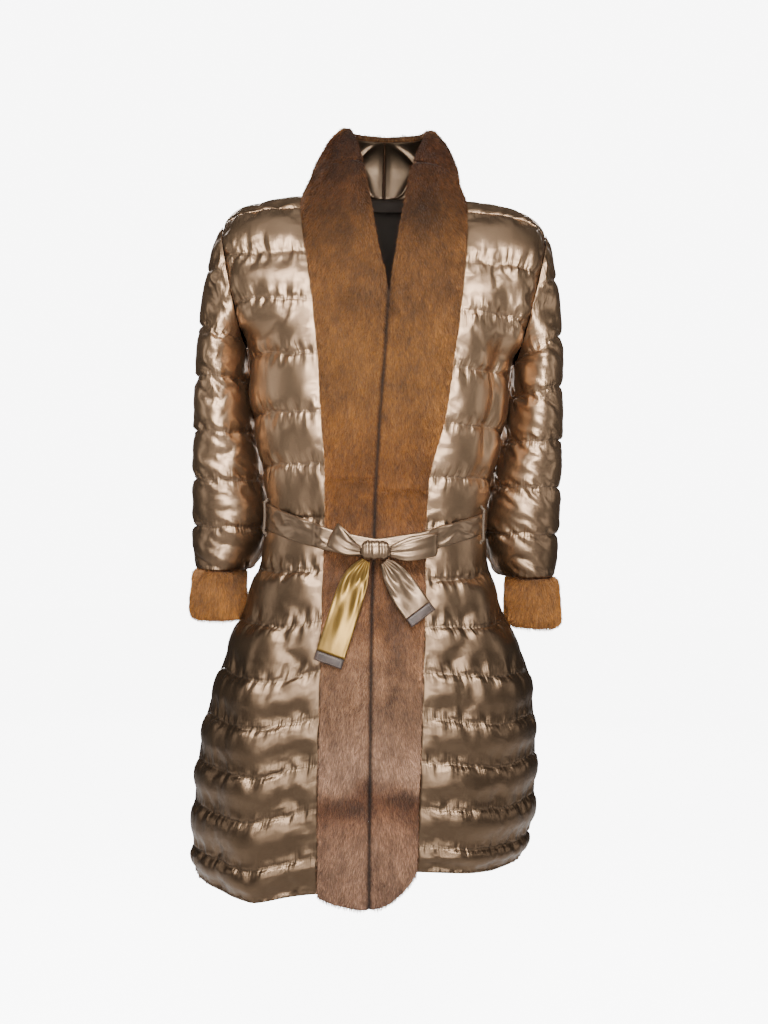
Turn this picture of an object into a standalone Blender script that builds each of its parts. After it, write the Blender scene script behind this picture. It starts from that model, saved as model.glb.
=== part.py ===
"""Knee-length belted down coat with a fur collar, fur front edges and fur cuffs.

It keeps the hollow form of a worn coat with no wearer in it. Metres, +Z up, the
front faces -Y. The origin is the point midway between the two neck points of the
shoulders. Right and left are the wearer's, so the right side is at -X.
"""

import math
from collections import namedtuple

import bmesh
import bpy
from mathutils import Vector

# ---------------------------------------------------------------- driving sizes

SEAM_GAP = 0.0003        # neighbouring pieces are this far apart
QUILT_DIP = 0.008        # how far a stitched row lies below the crest of its channel
STITCHED_WALL = 0.004    # wall left where the outer cloth is stitched down
CHANNEL_STEPS = 3        # levels from one stitched row to the next
RING_POWER = 2.3         # corner fullness of the body's rings

ARMHOLE_TOP = -0.056          # height of the shoulder tip
ARMHOLE_DEPTH = 0.080         # half of the armhole, front to back
ARMHOLE_BOTTOM_X = 0.1955     # from the centre to the armpit
ARMHOLE_LEAN = 0.22           # how far the armhole leans out for each metre up
ARMPIT_ROW = 2 + 2 / 3        # the body's row, counted from the shoulder, at the armpit

FRONT_COLUMNS = 8             # twice the columns of one shoulder of the back
BACK_NECK_COLUMNS = 4         # on each side of the centre back
BACK_SHOULDER_COLUMNS = 4     # on each side
YOKE_ROWS = 3                 # back channels from the shoulder seam to row 1
BACK_NECK_HEIGHT = 0.021
BACK_NECK_DEPTH = 0.088
NECK_SHARE = 0.55             # share of the back's half-width that is under the neck

FUR_OUT = 0.004               # fur stands this far outside the coat's ring
FUR_IN = 0.010                # and its skin lies this far inside it
FRONT_GAP = 0.0010            # from the centre front line to each fur edge

CUFF_PROUD = 0.008
CUFF_WALL = 0.007
CUFF_HEIGHT = 0.072
SLEEVE_COLUMNS = 16

PIECE_GAP = 0.0006            # between the knot, the belt ends, their tips and the belt
LINING_THICK = 0.0014
LINING_CUT = 0.04             # of a section step, that each half stops short at the centre
LINING_GAP = 0.0006           # the lining and the tape keep this far off the pieces beside them
TAPE_HEIGHT = 0.0170
TAPE_OFF = 0.0026             # from the neckline towards the inside, at the centre
TAPE_END_OFF = 0.0075         # and at its ends
TAPE_REACH = 0.62             # share of the neckline it covers, from the centre back
TAPE_STEPS = 8
TAPE_ROWS = ((0.0095, 0.0), (0.0140, 0.1), (0.0140, 0.55), (0.0140, 1.0))

BELT_THICK = 0.0030
BELT_CLEAR = 0.0012           # the belt stands this far off the coat
BELT_RIPPLE = 0.0010          # height of the creases along the belt
BELT_FUR_LIFT = 0.0065        # and this much more where it goes over the fur
BELT_FUR_FROM = 0.086         # from the centre, where it starts to rise to the fur
BELT_FUR_TO = 0.072
BELT_STEPS = 24               # from the centre back to the knot, each way
TAIL_THICK = 0.0028
TIP_THICK = 0.0042
TIP_LENGTH = 0.0135
CARRIER_RADIUS = 0.0022
CARRIER_POINTS = 8

# ---------------------------------------------------------------- section tables

# Rings of the coat's crest surface: half-width to each side seam, depth to the
# front and to the back.
Ring = namedtuple("Ring", "z right left front back")
BODY = (
    Ring(-0.020, 0.2350, 0.2350, 0.042, 0.070),
    Ring(-0.050, 0.2300, 0.2300, 0.074, 0.092),
    Ring(-0.080, 0.2250, 0.2250, 0.098, 0.104),
    Ring(-0.110, 0.2200, 0.2200, 0.114, 0.112),
    Ring(-0.170, 0.2080, 0.2080, 0.132, 0.122),
    Ring(-0.240, 0.1955, 0.1955, 0.140, 0.127),
    Ring(-0.330, 0.1855, 0.1870, 0.135, 0.121),
    Ring(-0.410, 0.1690, 0.1715, 0.122, 0.110),
    Ring(-0.480, 0.1580, 0.1600, 0.112, 0.102),
    Ring(-0.550, 0.1700, 0.1700, 0.119, 0.116),
    Ring(-0.620, 0.1930, 0.1945, 0.131, 0.134),
    Ring(-0.690, 0.2190, 0.2285, 0.141, 0.148),
    Ring(-0.760, 0.2400, 0.2410, 0.149, 0.158),
    Ring(-0.830, 0.2530, 0.2450, 0.155, 0.165),
    Ring(-0.900, 0.2580, 0.2430, 0.160, 0.170),
    Ring(-0.960, 0.2590, 0.2320, 0.163, 0.173),
    Ring(-1.010, 0.2540, 0.2250, 0.164, 0.174),
)

# Heights of the stitched rows, from the shoulder seam (row 0) to the hem (row 14),
# where each meets the fur edge and the side seam or armhole.
Row = namedtuple("Row", "number right_fur right_side left_fur left_side")
ROWS = (
    Row(0, -0.028, -0.066, -0.028, -0.066),
    Row(1, -0.108, -0.112, -0.117, -0.131),
    Row(2, -0.177, -0.184, -0.189, -0.207),
    Row(3, -0.252, -0.260, -0.267, -0.276),
    Row(4, -0.332, -0.341, -0.345, -0.352),
    Row(5, -0.404, -0.410, -0.418, -0.420),
    Row(6, -0.478, -0.483, -0.489, -0.484),
    Row(7, -0.548, -0.557, -0.558, -0.547),
    Row(8, -0.616, -0.630, -0.621, -0.616),
    Row(9, -0.684, -0.700, -0.683, -0.690),
    Row(10, -0.747, -0.765, -0.743, -0.755),
    Row(11, -0.809, -0.833, -0.801, -0.812),
    Row(12, -0.868, -0.897, -0.860, -0.869),
    Row(13, -0.931, -0.960, -0.911, -0.929),
    Row(14, -0.980, -1.000, -0.946, -0.960),
)
HEM_ROW = 14

# Where the down cloth stops and the fur starts, measured from the centre.
FurLine = namedtuple("FurLine", "z right left centre")
FUR_LINES = (
    FurLine(-0.020, 0.1190, 0.1190, 0.0100),
    FurLine(-0.100, 0.1060, 0.1150, 0.0100),
    FurLine(-0.162, 0.0950, 0.1100, 0.0100),
    FurLine(-0.246, 0.0855, 0.1030, 0.0070),
    FurLine(-0.341, 0.0775, 0.0910, 0.0020),
    FurLine(-0.423, 0.0715, 0.0720, -0.0010),
    FurLine(-0.600, 0.0700, 0.0700, -0.0025),
    FurLine(-0.849, 0.0680, 0.0670, 0.0010),
    FurLine(-1.000, 0.0655, 0.0660, 0.0040),
)

# Large soft folds of the body cloth. Share runs from the fur edge or the centre
# back (0) to the side seam (1); a positive height stands out.
Fold = namedtuple("Fold", "panel row_a share_a row_b share_b width height")
FOLDS = (
    Fold("front_right", 7.5, 0.38, 14.5, 0.28, 0.13, 0.012),
    Fold("front_right", 7.5, 0.05, 14.5, 0.05, 0.12, -0.006),
    Fold("front_right", 4.2, 0.22, 6.6, 0.12, 0.10, -0.007),
    Fold("front_left", 6.5, 0.45, 11.0, 0.45, 0.16, 0.007),
    Fold("front_left", 1.0, 0.42, 5.2, 0.52, 0.09, -0.009),
    Fold("front_left", 11.0, 0.20, 14.5, 0.25, 0.15, 0.006),
    Fold("back_right", 7.0, 0.42, 14.5, 0.48, 0.14, 0.010),
    Fold("back_left", 7.0, 0.38, 14.5, 0.44, 0.14, 0.009),
)

# Sleeve sections: height of the row at the outside, its outer and inner sides
# measured from the centre, half depth and how far back its middle lies.
Sleeve = namedtuple("Sleeve", "number z outer inner depth back")
SLEEVE = (
    Sleeve(0, -0.0575, 0.2365, 0.2250, 0.024, 0.000),
    Sleeve(1, -0.1250, 0.2550, 0.2100, 0.084, 0.001),
    Sleeve(2, -0.2040, 0.2655, 0.2000, 0.087, 0.004),
    Sleeve(3, -0.2785, 0.2700, 0.1950, 0.085, 0.012),
    Sleeve(4, -0.3575, 0.2725, 0.1860, 0.080, 0.018),
    Sleeve(5, -0.4275, 0.2740, 0.1715, 0.076, 0.024),
    Sleeve(6, -0.4965, 0.2735, 0.1630, 0.072, 0.030),
    Sleeve(7, -0.5605, 0.2700, 0.1885, 0.067, 0.034),
)
SLEEVE_PIT_ROW = 2 + 1 / 3
WRIST_ROW = 7

# Free edge of the fur from the waist to the centre back of the collar. Row is the
# body row beside it; past the shoulder it counts the share round the neck.
Edge = namedtuple("Edge", "station right_x left_x y z bulge wall_out wall_in")
FREE_EDGE = (
    Edge(3.0, 0.0090, 0.0130, -0.1370, -0.1640, 0.002, 0.004, 0.010),
    Edge(4.0, 0.0030, 0.0150, -0.1290, -0.1350, 0.004, 0.004, 0.009),
    Edge(5.0, -0.0080, 0.0210, -0.1130, -0.0880, 0.009, 0.005, 0.008),
    Edge(6.0, -0.0180, 0.0290, -0.0900, -0.0300, 0.015, 0.006, 0.006),
    Edge(7.0, -0.0310, 0.0410, -0.0640, 0.0320, 0.020, 0.006, 0.006),
    Edge(8.0, -0.0500, 0.0620, -0.0280, 0.0860, 0.018, 0.006, 0.006),
    Edge(9.0, -0.0600, 0.0640, 0.0080, 0.1000, 0.015, 0.006, 0.006),
    Edge(10.0, -0.0480, 0.0500, 0.0440, 0.1060, 0.012, 0.006, 0.006),
    Edge(11.0, -0.0000, 0.0000, 0.0640, 0.1080, 0.010, 0.006, 0.006),
)
LAPEL_TOP = 7.0          # station where the lapel meets the back collar
LAPEL_BOTTOM = 3.0

# The belt round the body, from the knot (0) to the centre back (1): height of its
# middle and its width on each side.
BeltPoint = namedtuple("BeltPoint", "share z right left")
BELT_LINE = (
    BeltPoint(0.00, -0.5165, 0.027, 0.027),
    BeltPoint(0.10, -0.5075, 0.030, 0.028),
    BeltPoint(0.17, -0.4995, 0.033, 0.029),
    BeltPoint(0.28, -0.4890, 0.036, 0.029),
    BeltPoint(0.41, -0.4800, 0.039, 0.030),
    BeltPoint(0.60, -0.4740, 0.039, 0.034),
    BeltPoint(1.00, -0.4700, 0.039, 0.039),
)
BELT_PROFILE = (0.0, 0.9, 0.2, 1.0, 0.1)    # share of the ripple across its width
CARRIER_X = {"right": 0.152, "left": 0.146}

# Rolled belt carrier: height from the belt's middle and distance off the coat.
CarrierPoint = namedtuple("CarrierPoint", "rise lift")
CARRIER_PATH = (
    CarrierPoint(0.0275, 0.0028),
    CarrierPoint(0.0240, 0.0040),
    CarrierPoint(0.0205, 0.0080),
    CarrierPoint(0.0100, 0.0083),
    CarrierPoint(-0.0100, 0.0083),
    CarrierPoint(-0.0205, 0.0080),
    CarrierPoint(-0.0240, 0.0040),
    CarrierPoint(-0.0275, 0.0028),
)

# The two hanging belt ends: middle line from the knot down, in the plane of the
# front, and how far each point stands in front of the fur.
TailPoint = namedtuple("TailPoint", "step x z out width")
TAILS = {
    "right": (
        TailPoint(0, -0.0120, -0.5326, 0.0150, 0.012),
        TailPoint(1, -0.0205, -0.5480, 0.0120, 0.028),
        TailPoint(2, -0.0290, -0.5680, 0.0080, 0.038),
        TailPoint(3, -0.0400, -0.6050, 0.0050, 0.040),
        TailPoint(4, -0.0565, -0.6600, 0.0045, 0.040),
    ),
    "left": (
        TailPoint(0, 0.0125, -0.5342, 0.0150, 0.012),
        TailPoint(1, 0.0215, -0.5440, 0.0130, 0.026),
        TailPoint(2, 0.0320, -0.5590, 0.0100, 0.036),
        TailPoint(3, 0.0455, -0.5790, 0.0070, 0.040),
        TailPoint(4, 0.0600, -0.5985, 0.0060, 0.040),
    ),
}

# Bow loops: path from the knot out and back, in front of the belt. Lean is how far
# the strip's upper edge is ahead of its lower one, towards the left.
LoopPoint = namedtuple("LoopPoint", "step x z out width lean")
LOOPS = {
    "right": (
        LoopPoint(0, -0.0192, -0.5200, 0.0062, 0.012, 0.00),
        LoopPoint(1, -0.0380, -0.5110, 0.0045, 0.027, 0.25),
        LoopPoint(2, -0.0540, -0.5015, 0.0050, 0.033, 0.42),
        LoopPoint(3, -0.0590, -0.4985, 0.0115, 0.034, 0.45),
        LoopPoint(4, -0.0540, -0.5020, 0.0185, 0.033, 0.42),
        LoopPoint(5, -0.0380, -0.5130, 0.0195, 0.025, 0.20),
        LoopPoint(6, -0.0192, -0.5190, 0.0135, 0.012, 0.00),
    ),
    "left": (
        LoopPoint(0, 0.0202, -0.5190, 0.0062, 0.012, 0.00),
        LoopPoint(1, 0.0450, -0.5140, 0.0045, 0.027, 0.05),
        LoopPoint(2, 0.0770, -0.5090, 0.0050, 0.029, 0.05),
        LoopPoint(3, 0.0840, -0.5090, 0.0110, 0.030, 0.05),
        LoopPoint(4, 0.0770, -0.5105, 0.0175, 0.031, 0.05),
        LoopPoint(5, 0.0450, -0.5180, 0.0195, 0.027, 0.05),
        LoopPoint(6, 0.0202, -0.5200, 0.0135, 0.012, 0.00),
    ),
}
STRIP_PLACES = (-0.5, -0.25, 0.0, 0.25, 0.5)

# The knot: share along its width and share of its full thickness there.
KnotRing = namedtuple("KnotRing", "along full")
KNOT_RINGS = (
    KnotRing(0.00, 0.62),
    KnotRing(0.07, 0.85),
    KnotRing(0.20, 0.98),
    KnotRing(0.33, 0.90),
    KnotRing(0.50, 1.00),
    KnotRing(0.67, 0.90),
    KnotRing(0.80, 0.98),
    KnotRing(0.93, 0.83),
    KnotRing(1.00, 0.62),
)
KNOT_SIZE = Vector((0.0380, 0.0190, 0.0275))
KNOT_X = 0.0005
KNOT_Z = -0.5180
KNOT_POINTS = 14

SIDES = {"right": -1.0, "left": 1.0}

# ---------------------------------------------------------------- small helpers


def between(low, high, share):
    """The value or point at a share of the way from low to high."""
    return low + (high - low) * share


def eased(share):
    """A share from 0 to 1 with soft ends."""
    share = min(max(share, 0.0), 1.0)
    return share * share * (3 - 2 * share)


def read(table, key, column):
    """A named column of a table, read smoothly at a value of its first column."""
    keys = [row[0] for row in table]
    values = [getattr(row, column) for row in table]
    if keys[-1] < keys[0]:
        keys.reverse()
        values.reverse()
    if key <= keys[0]:
        return values[0]
    if key >= keys[-1]:
        return values[-1]
    at = max(i for i in range(len(keys) - 1) if keys[i] <= key)

    def slope(i):
        low, high = max(i - 1, 0), min(i + 1, len(keys) - 1)
        return (values[high] - values[low]) / (keys[high] - keys[low])

    span = keys[at + 1] - keys[at]
    t = (key - keys[at]) / span
    start = (1 + 2 * t) * (1 - t) ** 2 * values[at]
    end = t * t * (3 - 2 * t) * values[at + 1]
    lean = t * (1 - t) * span * ((1 - t) * slope(at) - t * slope(at + 1))
    return start + end + lean


def material(name, colour, roughness):
    """A plain Principled material."""
    made = bpy.data.materials.new(name)
    made.use_nodes = True
    shader = made.node_tree.nodes["Principled BSDF"]
    shader.inputs["Base Color"].default_value = (*colour, 1.0)
    shader.inputs["Roughness"].default_value = roughness
    shader.inputs["Metallic"].default_value = 0.0
    return made


def add_object(name, points, faces, finish):
    """A mesh object from points and faces, with its faces pointing outwards."""
    mesh = bpy.data.meshes.new(name)
    mesh.from_pydata([tuple(p) for p in points], [], faces)
    shape = bmesh.new()
    shape.from_mesh(mesh)
    bmesh.ops.recalc_face_normals(shape, faces=shape.faces)
    shape.to_mesh(mesh)
    shape.free()
    mesh.materials.append(finish)
    made = bpy.data.objects.new(name, mesh)
    coat.objects.link(made)
    return made


def grid_faces(levels, columns, start, wrap, turned):
    """Triangles of a grid of points, cut along the same diagonal in every layer."""
    faces = []
    for i in range(levels - 1):
        for j in range(columns if wrap else columns - 1):
            k = (j + 1) % columns
            near = start + i * columns + j
            beside = start + i * columns + k
            across = start + (i + 1) * columns + k
            below = start + (i + 1) * columns + j
            for corners in ((near, beside, across), (near, across, below)):
                faces.append(corners[::-1] if turned else corners)
    return faces


def capped_rings(name, rings, finish):
    """A closed solid through rings of points, with flat ends."""
    count = len(rings[0])
    last = (len(rings) - 1) * count
    faces = grid_faces(len(rings), count, 0, True, False)
    faces.append(tuple(range(count - 1, -1, -1)))
    faces.append(tuple(range(last, last + count)))
    return add_object(name, [p for ring in rings for p in ring], faces, finish)


def rim_loop(levels, columns):
    """The points round the edge of an open grid, in order."""
    top = [(0, j) for j in range(columns)]
    far = [(i, columns - 1) for i in range(1, levels)]
    bottom = [(levels - 1, j) for j in range(columns - 2, -1, -1)]
    near = [(i, 0) for i in range(levels - 2, 0, -1)]
    return top + far + bottom + near


def wall_object(name, outer, inner, finish, wrap=False):
    """A closed wall between an outer and an inner grid of points."""
    levels, columns = len(outer), len(outer[0])
    points = [p for row in outer for p in row] + [p for row in inner for p in row]
    inside = levels * columns
    faces = grid_faces(levels, columns, 0, wrap, False)
    faces += grid_faces(levels, columns, inside, wrap, True)
    if wrap:
        loops = [[(0, j) for j in range(columns)]]
        loops.append([(levels - 1, j) for j in range(columns)])
    else:
        loops = [rim_loop(levels, columns)]
    for loop in loops:
        ids = [i * columns + j for i, j in loop]
        for a, b in zip(ids, ids[1:] + ids[:1]):
            faces.append((a, b, b + inside, a + inside))
    return add_object(name, points, faces, finish)


def grid_normals(grid, outward, wrap=False):
    """Point normals of a grid, turned to the side that outward(point) gives."""
    levels, columns = len(grid), len(grid[0])
    normals = []
    for i in range(levels):
        row = []
        for j in range(columns):
            up, down = grid[max(i - 1, 0)][j], grid[min(i + 1, levels - 1)][j]
            if wrap:
                before, after = grid[i][j - 1], grid[i][(j + 1) % columns]
            else:
                before, after = grid[i][max(j - 1, 0)], grid[i][min(j + 1, columns - 1)]
            normal = (down - up).cross(after - before).normalized()
            if normal.dot(outward(grid[i][j])) < 0:
                normal = -normal
            row.append(normal)
        normals.append(row)
    return normals


def from_axis(point):
    """Direction away from the coat's upright middle line."""
    return Vector((point.x, point.y * 1.5, 0.05 if point.z < -0.09 else 0.12)).normalized()


# ---------------------------------------------------------------- the body's surface


def armpit_z(side):
    return read(ROWS, ARMPIT_ROW, side + "_side")


def armhole_x(side, z):
    return ARMHOLE_BOTTOM_X + ARMHOLE_LEAN * (z - armpit_z(side))


def armhole_half(side, z):
    """Half of the armhole's opening, front to back, at a height."""
    middle = (ARMHOLE_TOP + armpit_z(side)) / 2
    reach = (ARMHOLE_TOP - armpit_z(side)) / 2
    return ARMHOLE_DEPTH * math.sqrt(max(0.0, 1 - ((z - middle) / reach) ** 2))


def armhole_point(side, angle):
    """Point of the armhole's curve; 0 is its front, 90 degrees its top."""
    middle = (ARMHOLE_TOP + armpit_z(side)) / 2
    reach = (ARMHOLE_TOP - armpit_z(side)) / 2
    z = middle + reach * math.sin(angle)
    x = armhole_x(side, z) * SIDES[side]
    return Vector((x, -ARMHOLE_DEPTH * math.cos(angle), z))


def armhole_angle(side, z):
    middle = (ARMHOLE_TOP + armpit_z(side)) / 2
    reach = (ARMHOLE_TOP - armpit_z(side)) / 2
    return math.asin(min(max((z - middle) / reach, -1.0), 1.0))


def panel_edge(side, row):
    """Half-width, half-opening and height where a row meets the side."""
    z = read(ROWS, row, side + "_side")
    if row < ARMPIT_ROW - 0.001:
        return armhole_x(side, z), armhole_half(side, z), z
    return read(BODY, z, side), 0.0, z


def ring_y(side, x, z, edge_x, edge_y, face):
    """Depth of the body's ring at x, towards the front or the back."""
    share = min(abs(x) / edge_x, 1.0)
    full = (1 - share ** RING_POWER) ** (1 / RING_POWER)
    deep = read(BODY, z, face)
    return edge_y + (deep - edge_y) * full


def front_point(side, share, row):
    """Crest surface of a front, from its fur edge (0) to its side (1)."""
    edge_x, edge_y, edge_z = panel_edge(side, row)
    fur_z = read(ROWS, row, side + "_fur")
    fur_x = read(FUR_LINES, fur_z, side)
    start = math.asin((fur_x / edge_x) ** (RING_POWER / 2))
    angle = between(start, math.pi / 2, share)
    x = edge_x * math.sin(angle) ** (2 / RING_POWER)
    z = between(fur_z, edge_z, share ** 1.6)
    y = -ring_y(side, x, z, edge_x, edge_y, "front")
    return Vector((x * SIDES[side], y, z))


def neck_point(side, share):
    """Neckline of the back, from the centre back (0) to the shoulder seam (1)."""
    seam = front_point(side, 0.0, 0.0)
    centre = Vector((0.0, BACK_NECK_DEPTH, BACK_NECK_HEIGHT))
    angle = share * math.pi / 2
    x = abs(seam.x) * math.sin(angle) ** 0.8
    y = between(seam.y, centre.y, math.cos(angle) ** 0.9)
    z = between(seam.z, centre.z, math.cos(angle) ** 0.45)
    return Vector((x * SIDES[side], y, z))


def back_below(side, share, row):
    """Crest surface of the back below the yoke; share 0 is the centre back."""
    edge_x, edge_y, edge_z = panel_edge(side, row)
    other = "left" if side == "right" else "right"
    centre_z = (edge_z + read(ROWS, row, other + "_side")) / 2 + 0.006
    angle = share * math.pi / 2
    x = edge_x * math.sin(angle) ** (2 / RING_POWER)
    z = between(centre_z, edge_z, share ** 2)
    return Vector((x * SIDES[side], ring_y(side, x, z, edge_x, edge_y, "back"), z))


def back_point(side, share, row):
    """Crest surface of the back. Rows 0 to 3 are the yoke, over the shoulder."""
    if row >= YOKE_ROWS:
        return back_below(side, share, row - YOKE_ROWS + 1)
    t = row / YOKE_ROWS
    if share > 0.999:
        first = armhole_angle(side, ROWS[0].right_side)
        last = math.pi - armhole_angle(side, panel_edge(side, 1)[2])
        return armhole_point(side, between(first, last, t))
    low = back_below(side, share, 1)
    if share >= NECK_SHARE:
        along = (share - NECK_SHARE) / (1 - NECK_SHARE)
        top = front_point(side, along, 0.0)
        rise = Vector((0.0, 0.052, between(0.058, 0.018, along)))
    else:
        round_neck = share / NECK_SHARE
        top = neck_point(side, round_neck)
        rise = Vector((0.0, 0.018, between(-0.012, 0.030, round_neck ** 3)))
        rise.y += 0.030 * round_neck ** 3
    settle = Vector((0.0, -0.010, 0.046))
    steps = ((1 - t) ** 3, 3 * t * (1 - t) ** 2, 3 * t * t * (1 - t), t ** 3)
    points = (top, top + rise, low + settle, low)
    return sum((p * s for p, s in zip(points, steps)), Vector())


def fold_height(panel, share, row):
    """How far the large folds move the cloth out at a place on a panel."""
    height = 0.0
    for fold in FOLDS:
        if fold.panel != panel or not fold.row_a <= row <= fold.row_b:
            continue
        along = (row - fold.row_a) / (fold.row_b - fold.row_a)
        middle = between(fold.share_a, fold.share_b, along)
        fade = eased(4 * along) * eased(4 * (1 - along) + (fold.row_b > HEM_ROW))
        height += fold.height * fade * math.exp(-(((share - middle) / fold.width) ** 2))
    return height


def puff(row, edge_near, edge_far):
    """Share of the full channel height; 0 on a stitched row, low at the edges."""
    across = abs(math.sin(math.pi * row)) ** 0.45
    if abs(row - round(row)) < 0.001:
        across = 0.0
    ends = min(0.55 + 2.2 * edge_near, 1.0) * min(0.60 + 2.6 * edge_far, 1.0)
    return across * ends


def levels_between(first, last):
    """Row values from first to last with the set number of steps a channel."""
    count = round((last - first) * CHANNEL_STEPS)
    return [first + (last - first) * i / count for i in range(count + 1)]


def in_armhole_plane(side, normal):
    """A direction laid into the plane of the armhole."""
    across = Vector((SIDES[side], 0.0, -ARMHOLE_LEAN)).normalized()
    return (normal - across * normal.dot(across)).normalized()


def side_normal(side, row):
    """Outward direction that the front and the back share along the side seam."""
    low = panel_edge(side, min(row + 0.4, HEM_ROW))
    high = panel_edge(side, max(row - 0.4, ARMPIT_ROW))
    slope = (high[0] - low[0]) / (high[2] - low[2])
    return Vector((SIDES[side], 0.0, -slope)).normalized()


def seam_normal(side, share):
    """Outward direction that the front and the back share at the shoulder seam."""
    tip_side = Vector((SIDES[side] * between(0.22, 0.60, share), -0.55, 0.80))
    return tip_side.normalized()


def fur_edge_frame(side, row):
    """Point, cloth normal and direction off the cloth along a front's fur edge."""
    point = front_point(side, 0.0, row)
    across = point - front_point(side, 0.02, row)
    step = 0.05
    above = front_point(side, 0.0, max(row - step, 0.0))
    below = front_point(side, 0.0, min(row + step, HEM_ROW))
    normal = (below - above).cross(across).normalized()
    if normal.dot(from_axis(point)) < 0:
        normal = -normal
    normal = between(seam_normal(side, 0.0), normal, eased(row * 2)).normalized()
    along = (below - above).normalized()
    off = along.cross(normal).normalized()
    if off.dot(across) < 0:
        off = -off
    return point, normal, off


# ---------------------------------------------------------------- fronts and back


def front_grid(side):
    """Crest points, normals and channel shares of a front."""
    rows = levels_between(0, HEM_ROW)
    shares = [j / FRONT_COLUMNS for j in range(FRONT_COLUMNS + 1)]
    grid = [[front_point(side, s, r) for s in shares] for r in rows]
    normals = grid_normals(grid, from_axis)
    for i, r in enumerate(rows):
        normals[i][0] = fur_edge_frame(side, r)[1]
        if r < ARMPIT_ROW - 0.001:
            normals[i][-1] = in_armhole_plane(side, normals[i][-1])
        else:
            normals[i][-1] = side_normal(side, r)
    for j in range(0, FRONT_COLUMNS + 1, 2):
        normals[0][j] = seam_normal(side, shares[j])
    normals[0][-1] = in_armhole_plane(side, normals[0][-1])
    for line in (grid[0], normals[0]):
        for j in range(1, FRONT_COLUMNS, 2):
            line[j] = (line[j - 1] + line[j + 1]) / 2
    puffs = [[puff(r, s, 1 - s) for s in shares] for r in rows]
    folds = [[fold_height("front_" + side, s, r) for s in shares] for r in rows]
    return grid, normals, puffs, folds


def wall_grids(grid, normals, puffs, folds, fullness=None):
    """Outer points with the channels raised, and plain inner points."""
    fullness = fullness or [[1.0] * len(row) for row in grid]
    outer, inner = [], []
    for g_row, n_row, p_row, f_row, row in zip(grid, normals, puffs, folds, fullness):
        dips = [QUILT_DIP * full for full in row]
        outer.append([
            p + n * (f - dip * (1 - up))
            for p, n, up, f, dip in zip(g_row, n_row, p_row, f_row, dips)
        ])
        inner.append([
            p + n * (f - dip - STITCHED_WALL)
            for p, n, f, dip in zip(g_row, n_row, f_row, dips)
        ])
    return outer, inner


def make_front(side):
    grid, normals, puffs, folds = front_grid(side)
    outer, inner = wall_grids(grid, normals, puffs, folds)
    return wall_object("front_" + side, outer, inner, DOWN_CLOTH)


def back_shares():
    """Column places from the centre back to the side."""
    neck = [NECK_SHARE * j / BACK_NECK_COLUMNS for j in range(BACK_NECK_COLUMNS)]
    span = 1 - NECK_SHARE
    steps = range(BACK_SHOULDER_COLUMNS + 1)
    return neck + [NECK_SHARE + span * j / BACK_SHOULDER_COLUMNS for j in steps]


def seam_step(side, share):
    """Step across the shoulder seam, from the front's cloth towards the back's."""
    along = front_point(side, min(share + 0.1, 1.0), 0.0)
    along -= front_point(side, max(share - 0.1, 0.0), 0.0)
    step = along.cross(seam_normal(side, share)).normalized() * (SEAM_GAP * 1.5)
    return step if step.y > 0 else -step


def make_back():
    """The back in one piece, with its seams moved a seam gap off the fronts."""
    rows = levels_between(0, HEM_ROW + YOKE_ROWS - 1)
    shares = back_shares()
    columns = [("right", s) for s in reversed(shares[1:])]
    columns += [("left", s) for s in shares]
    grid = [[back_point(side, s, r) for side, s in columns] for r in rows]
    normals = grid_normals(grid, from_axis)
    last = len(columns) - 1
    for j, (side, s) in enumerate(columns):
        if s >= NECK_SHARE:
            along = (s - NECK_SHARE) / (1 - NECK_SHARE)
            normals[0][j] = seam_normal(side, along)
        else:
            normals[0][j] = neck_normal(side, s / NECK_SHARE)
    for i, r in enumerate(rows):
        body_row = r - YOKE_ROWS + 1
        for j, side in ((0, "right"), (last, "left")):
            if body_row < ARMPIT_ROW - 0.001:
                normals[i][j] = in_armhole_plane(side, normals[i][j])
            else:
                normals[i][j] = side_normal(side, body_row)
    puffs, folds = [], []
    for r in rows:
        top = 1.0 if r > YOKE_ROWS else 0.8
        puffs.append([top * puff(r, 1.0, 1 - s) for _, s in columns])
        body_row = r - YOKE_ROWS + 1
        folds.append([fold_height("back_" + side, s, body_row) for side, s in columns])
    outer, inner = wall_grids(grid, normals, puffs, folds)
    for layer in (outer, inner):
        for j, (side, s) in enumerate(columns):
            if s >= NECK_SHARE:
                along = (s - NECK_SHARE) / (1 - NECK_SHARE)
                layer[0][j] = layer[0][j] + seam_step(side, along)
        for i, r in enumerate(rows):
            if r - YOKE_ROWS + 1 >= ARMPIT_ROW - 0.001:
                for j in (0, last):
                    layer[i][j] = layer[i][j] + Vector((0.0, SEAM_GAP * 1.5, 0.0))
    return wall_object("back", outer, inner, DOWN_CLOTH)


# ---------------------------------------------------------------- sleeves and cuffs


def sleeve_edge_z(side, row):
    """Height of a sleeve row at the armhole, or at the inner side below it."""
    z = read(SLEEVE, row, "z")
    pit = read(SLEEVE, SLEEVE_PIT_ROW, "z")
    if row <= SLEEVE_PIT_ROW:
        first = armhole_angle(side, SLEEVE[0].z)
        angle = between(first, -math.pi / 2, row / SLEEVE_PIT_ROW)
        return armhole_point(side, angle).z
    fade = 1 - eased((row - SLEEVE_PIT_ROW) / 2.5)
    return z + (armpit_z(side) - pit) * fade


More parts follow.
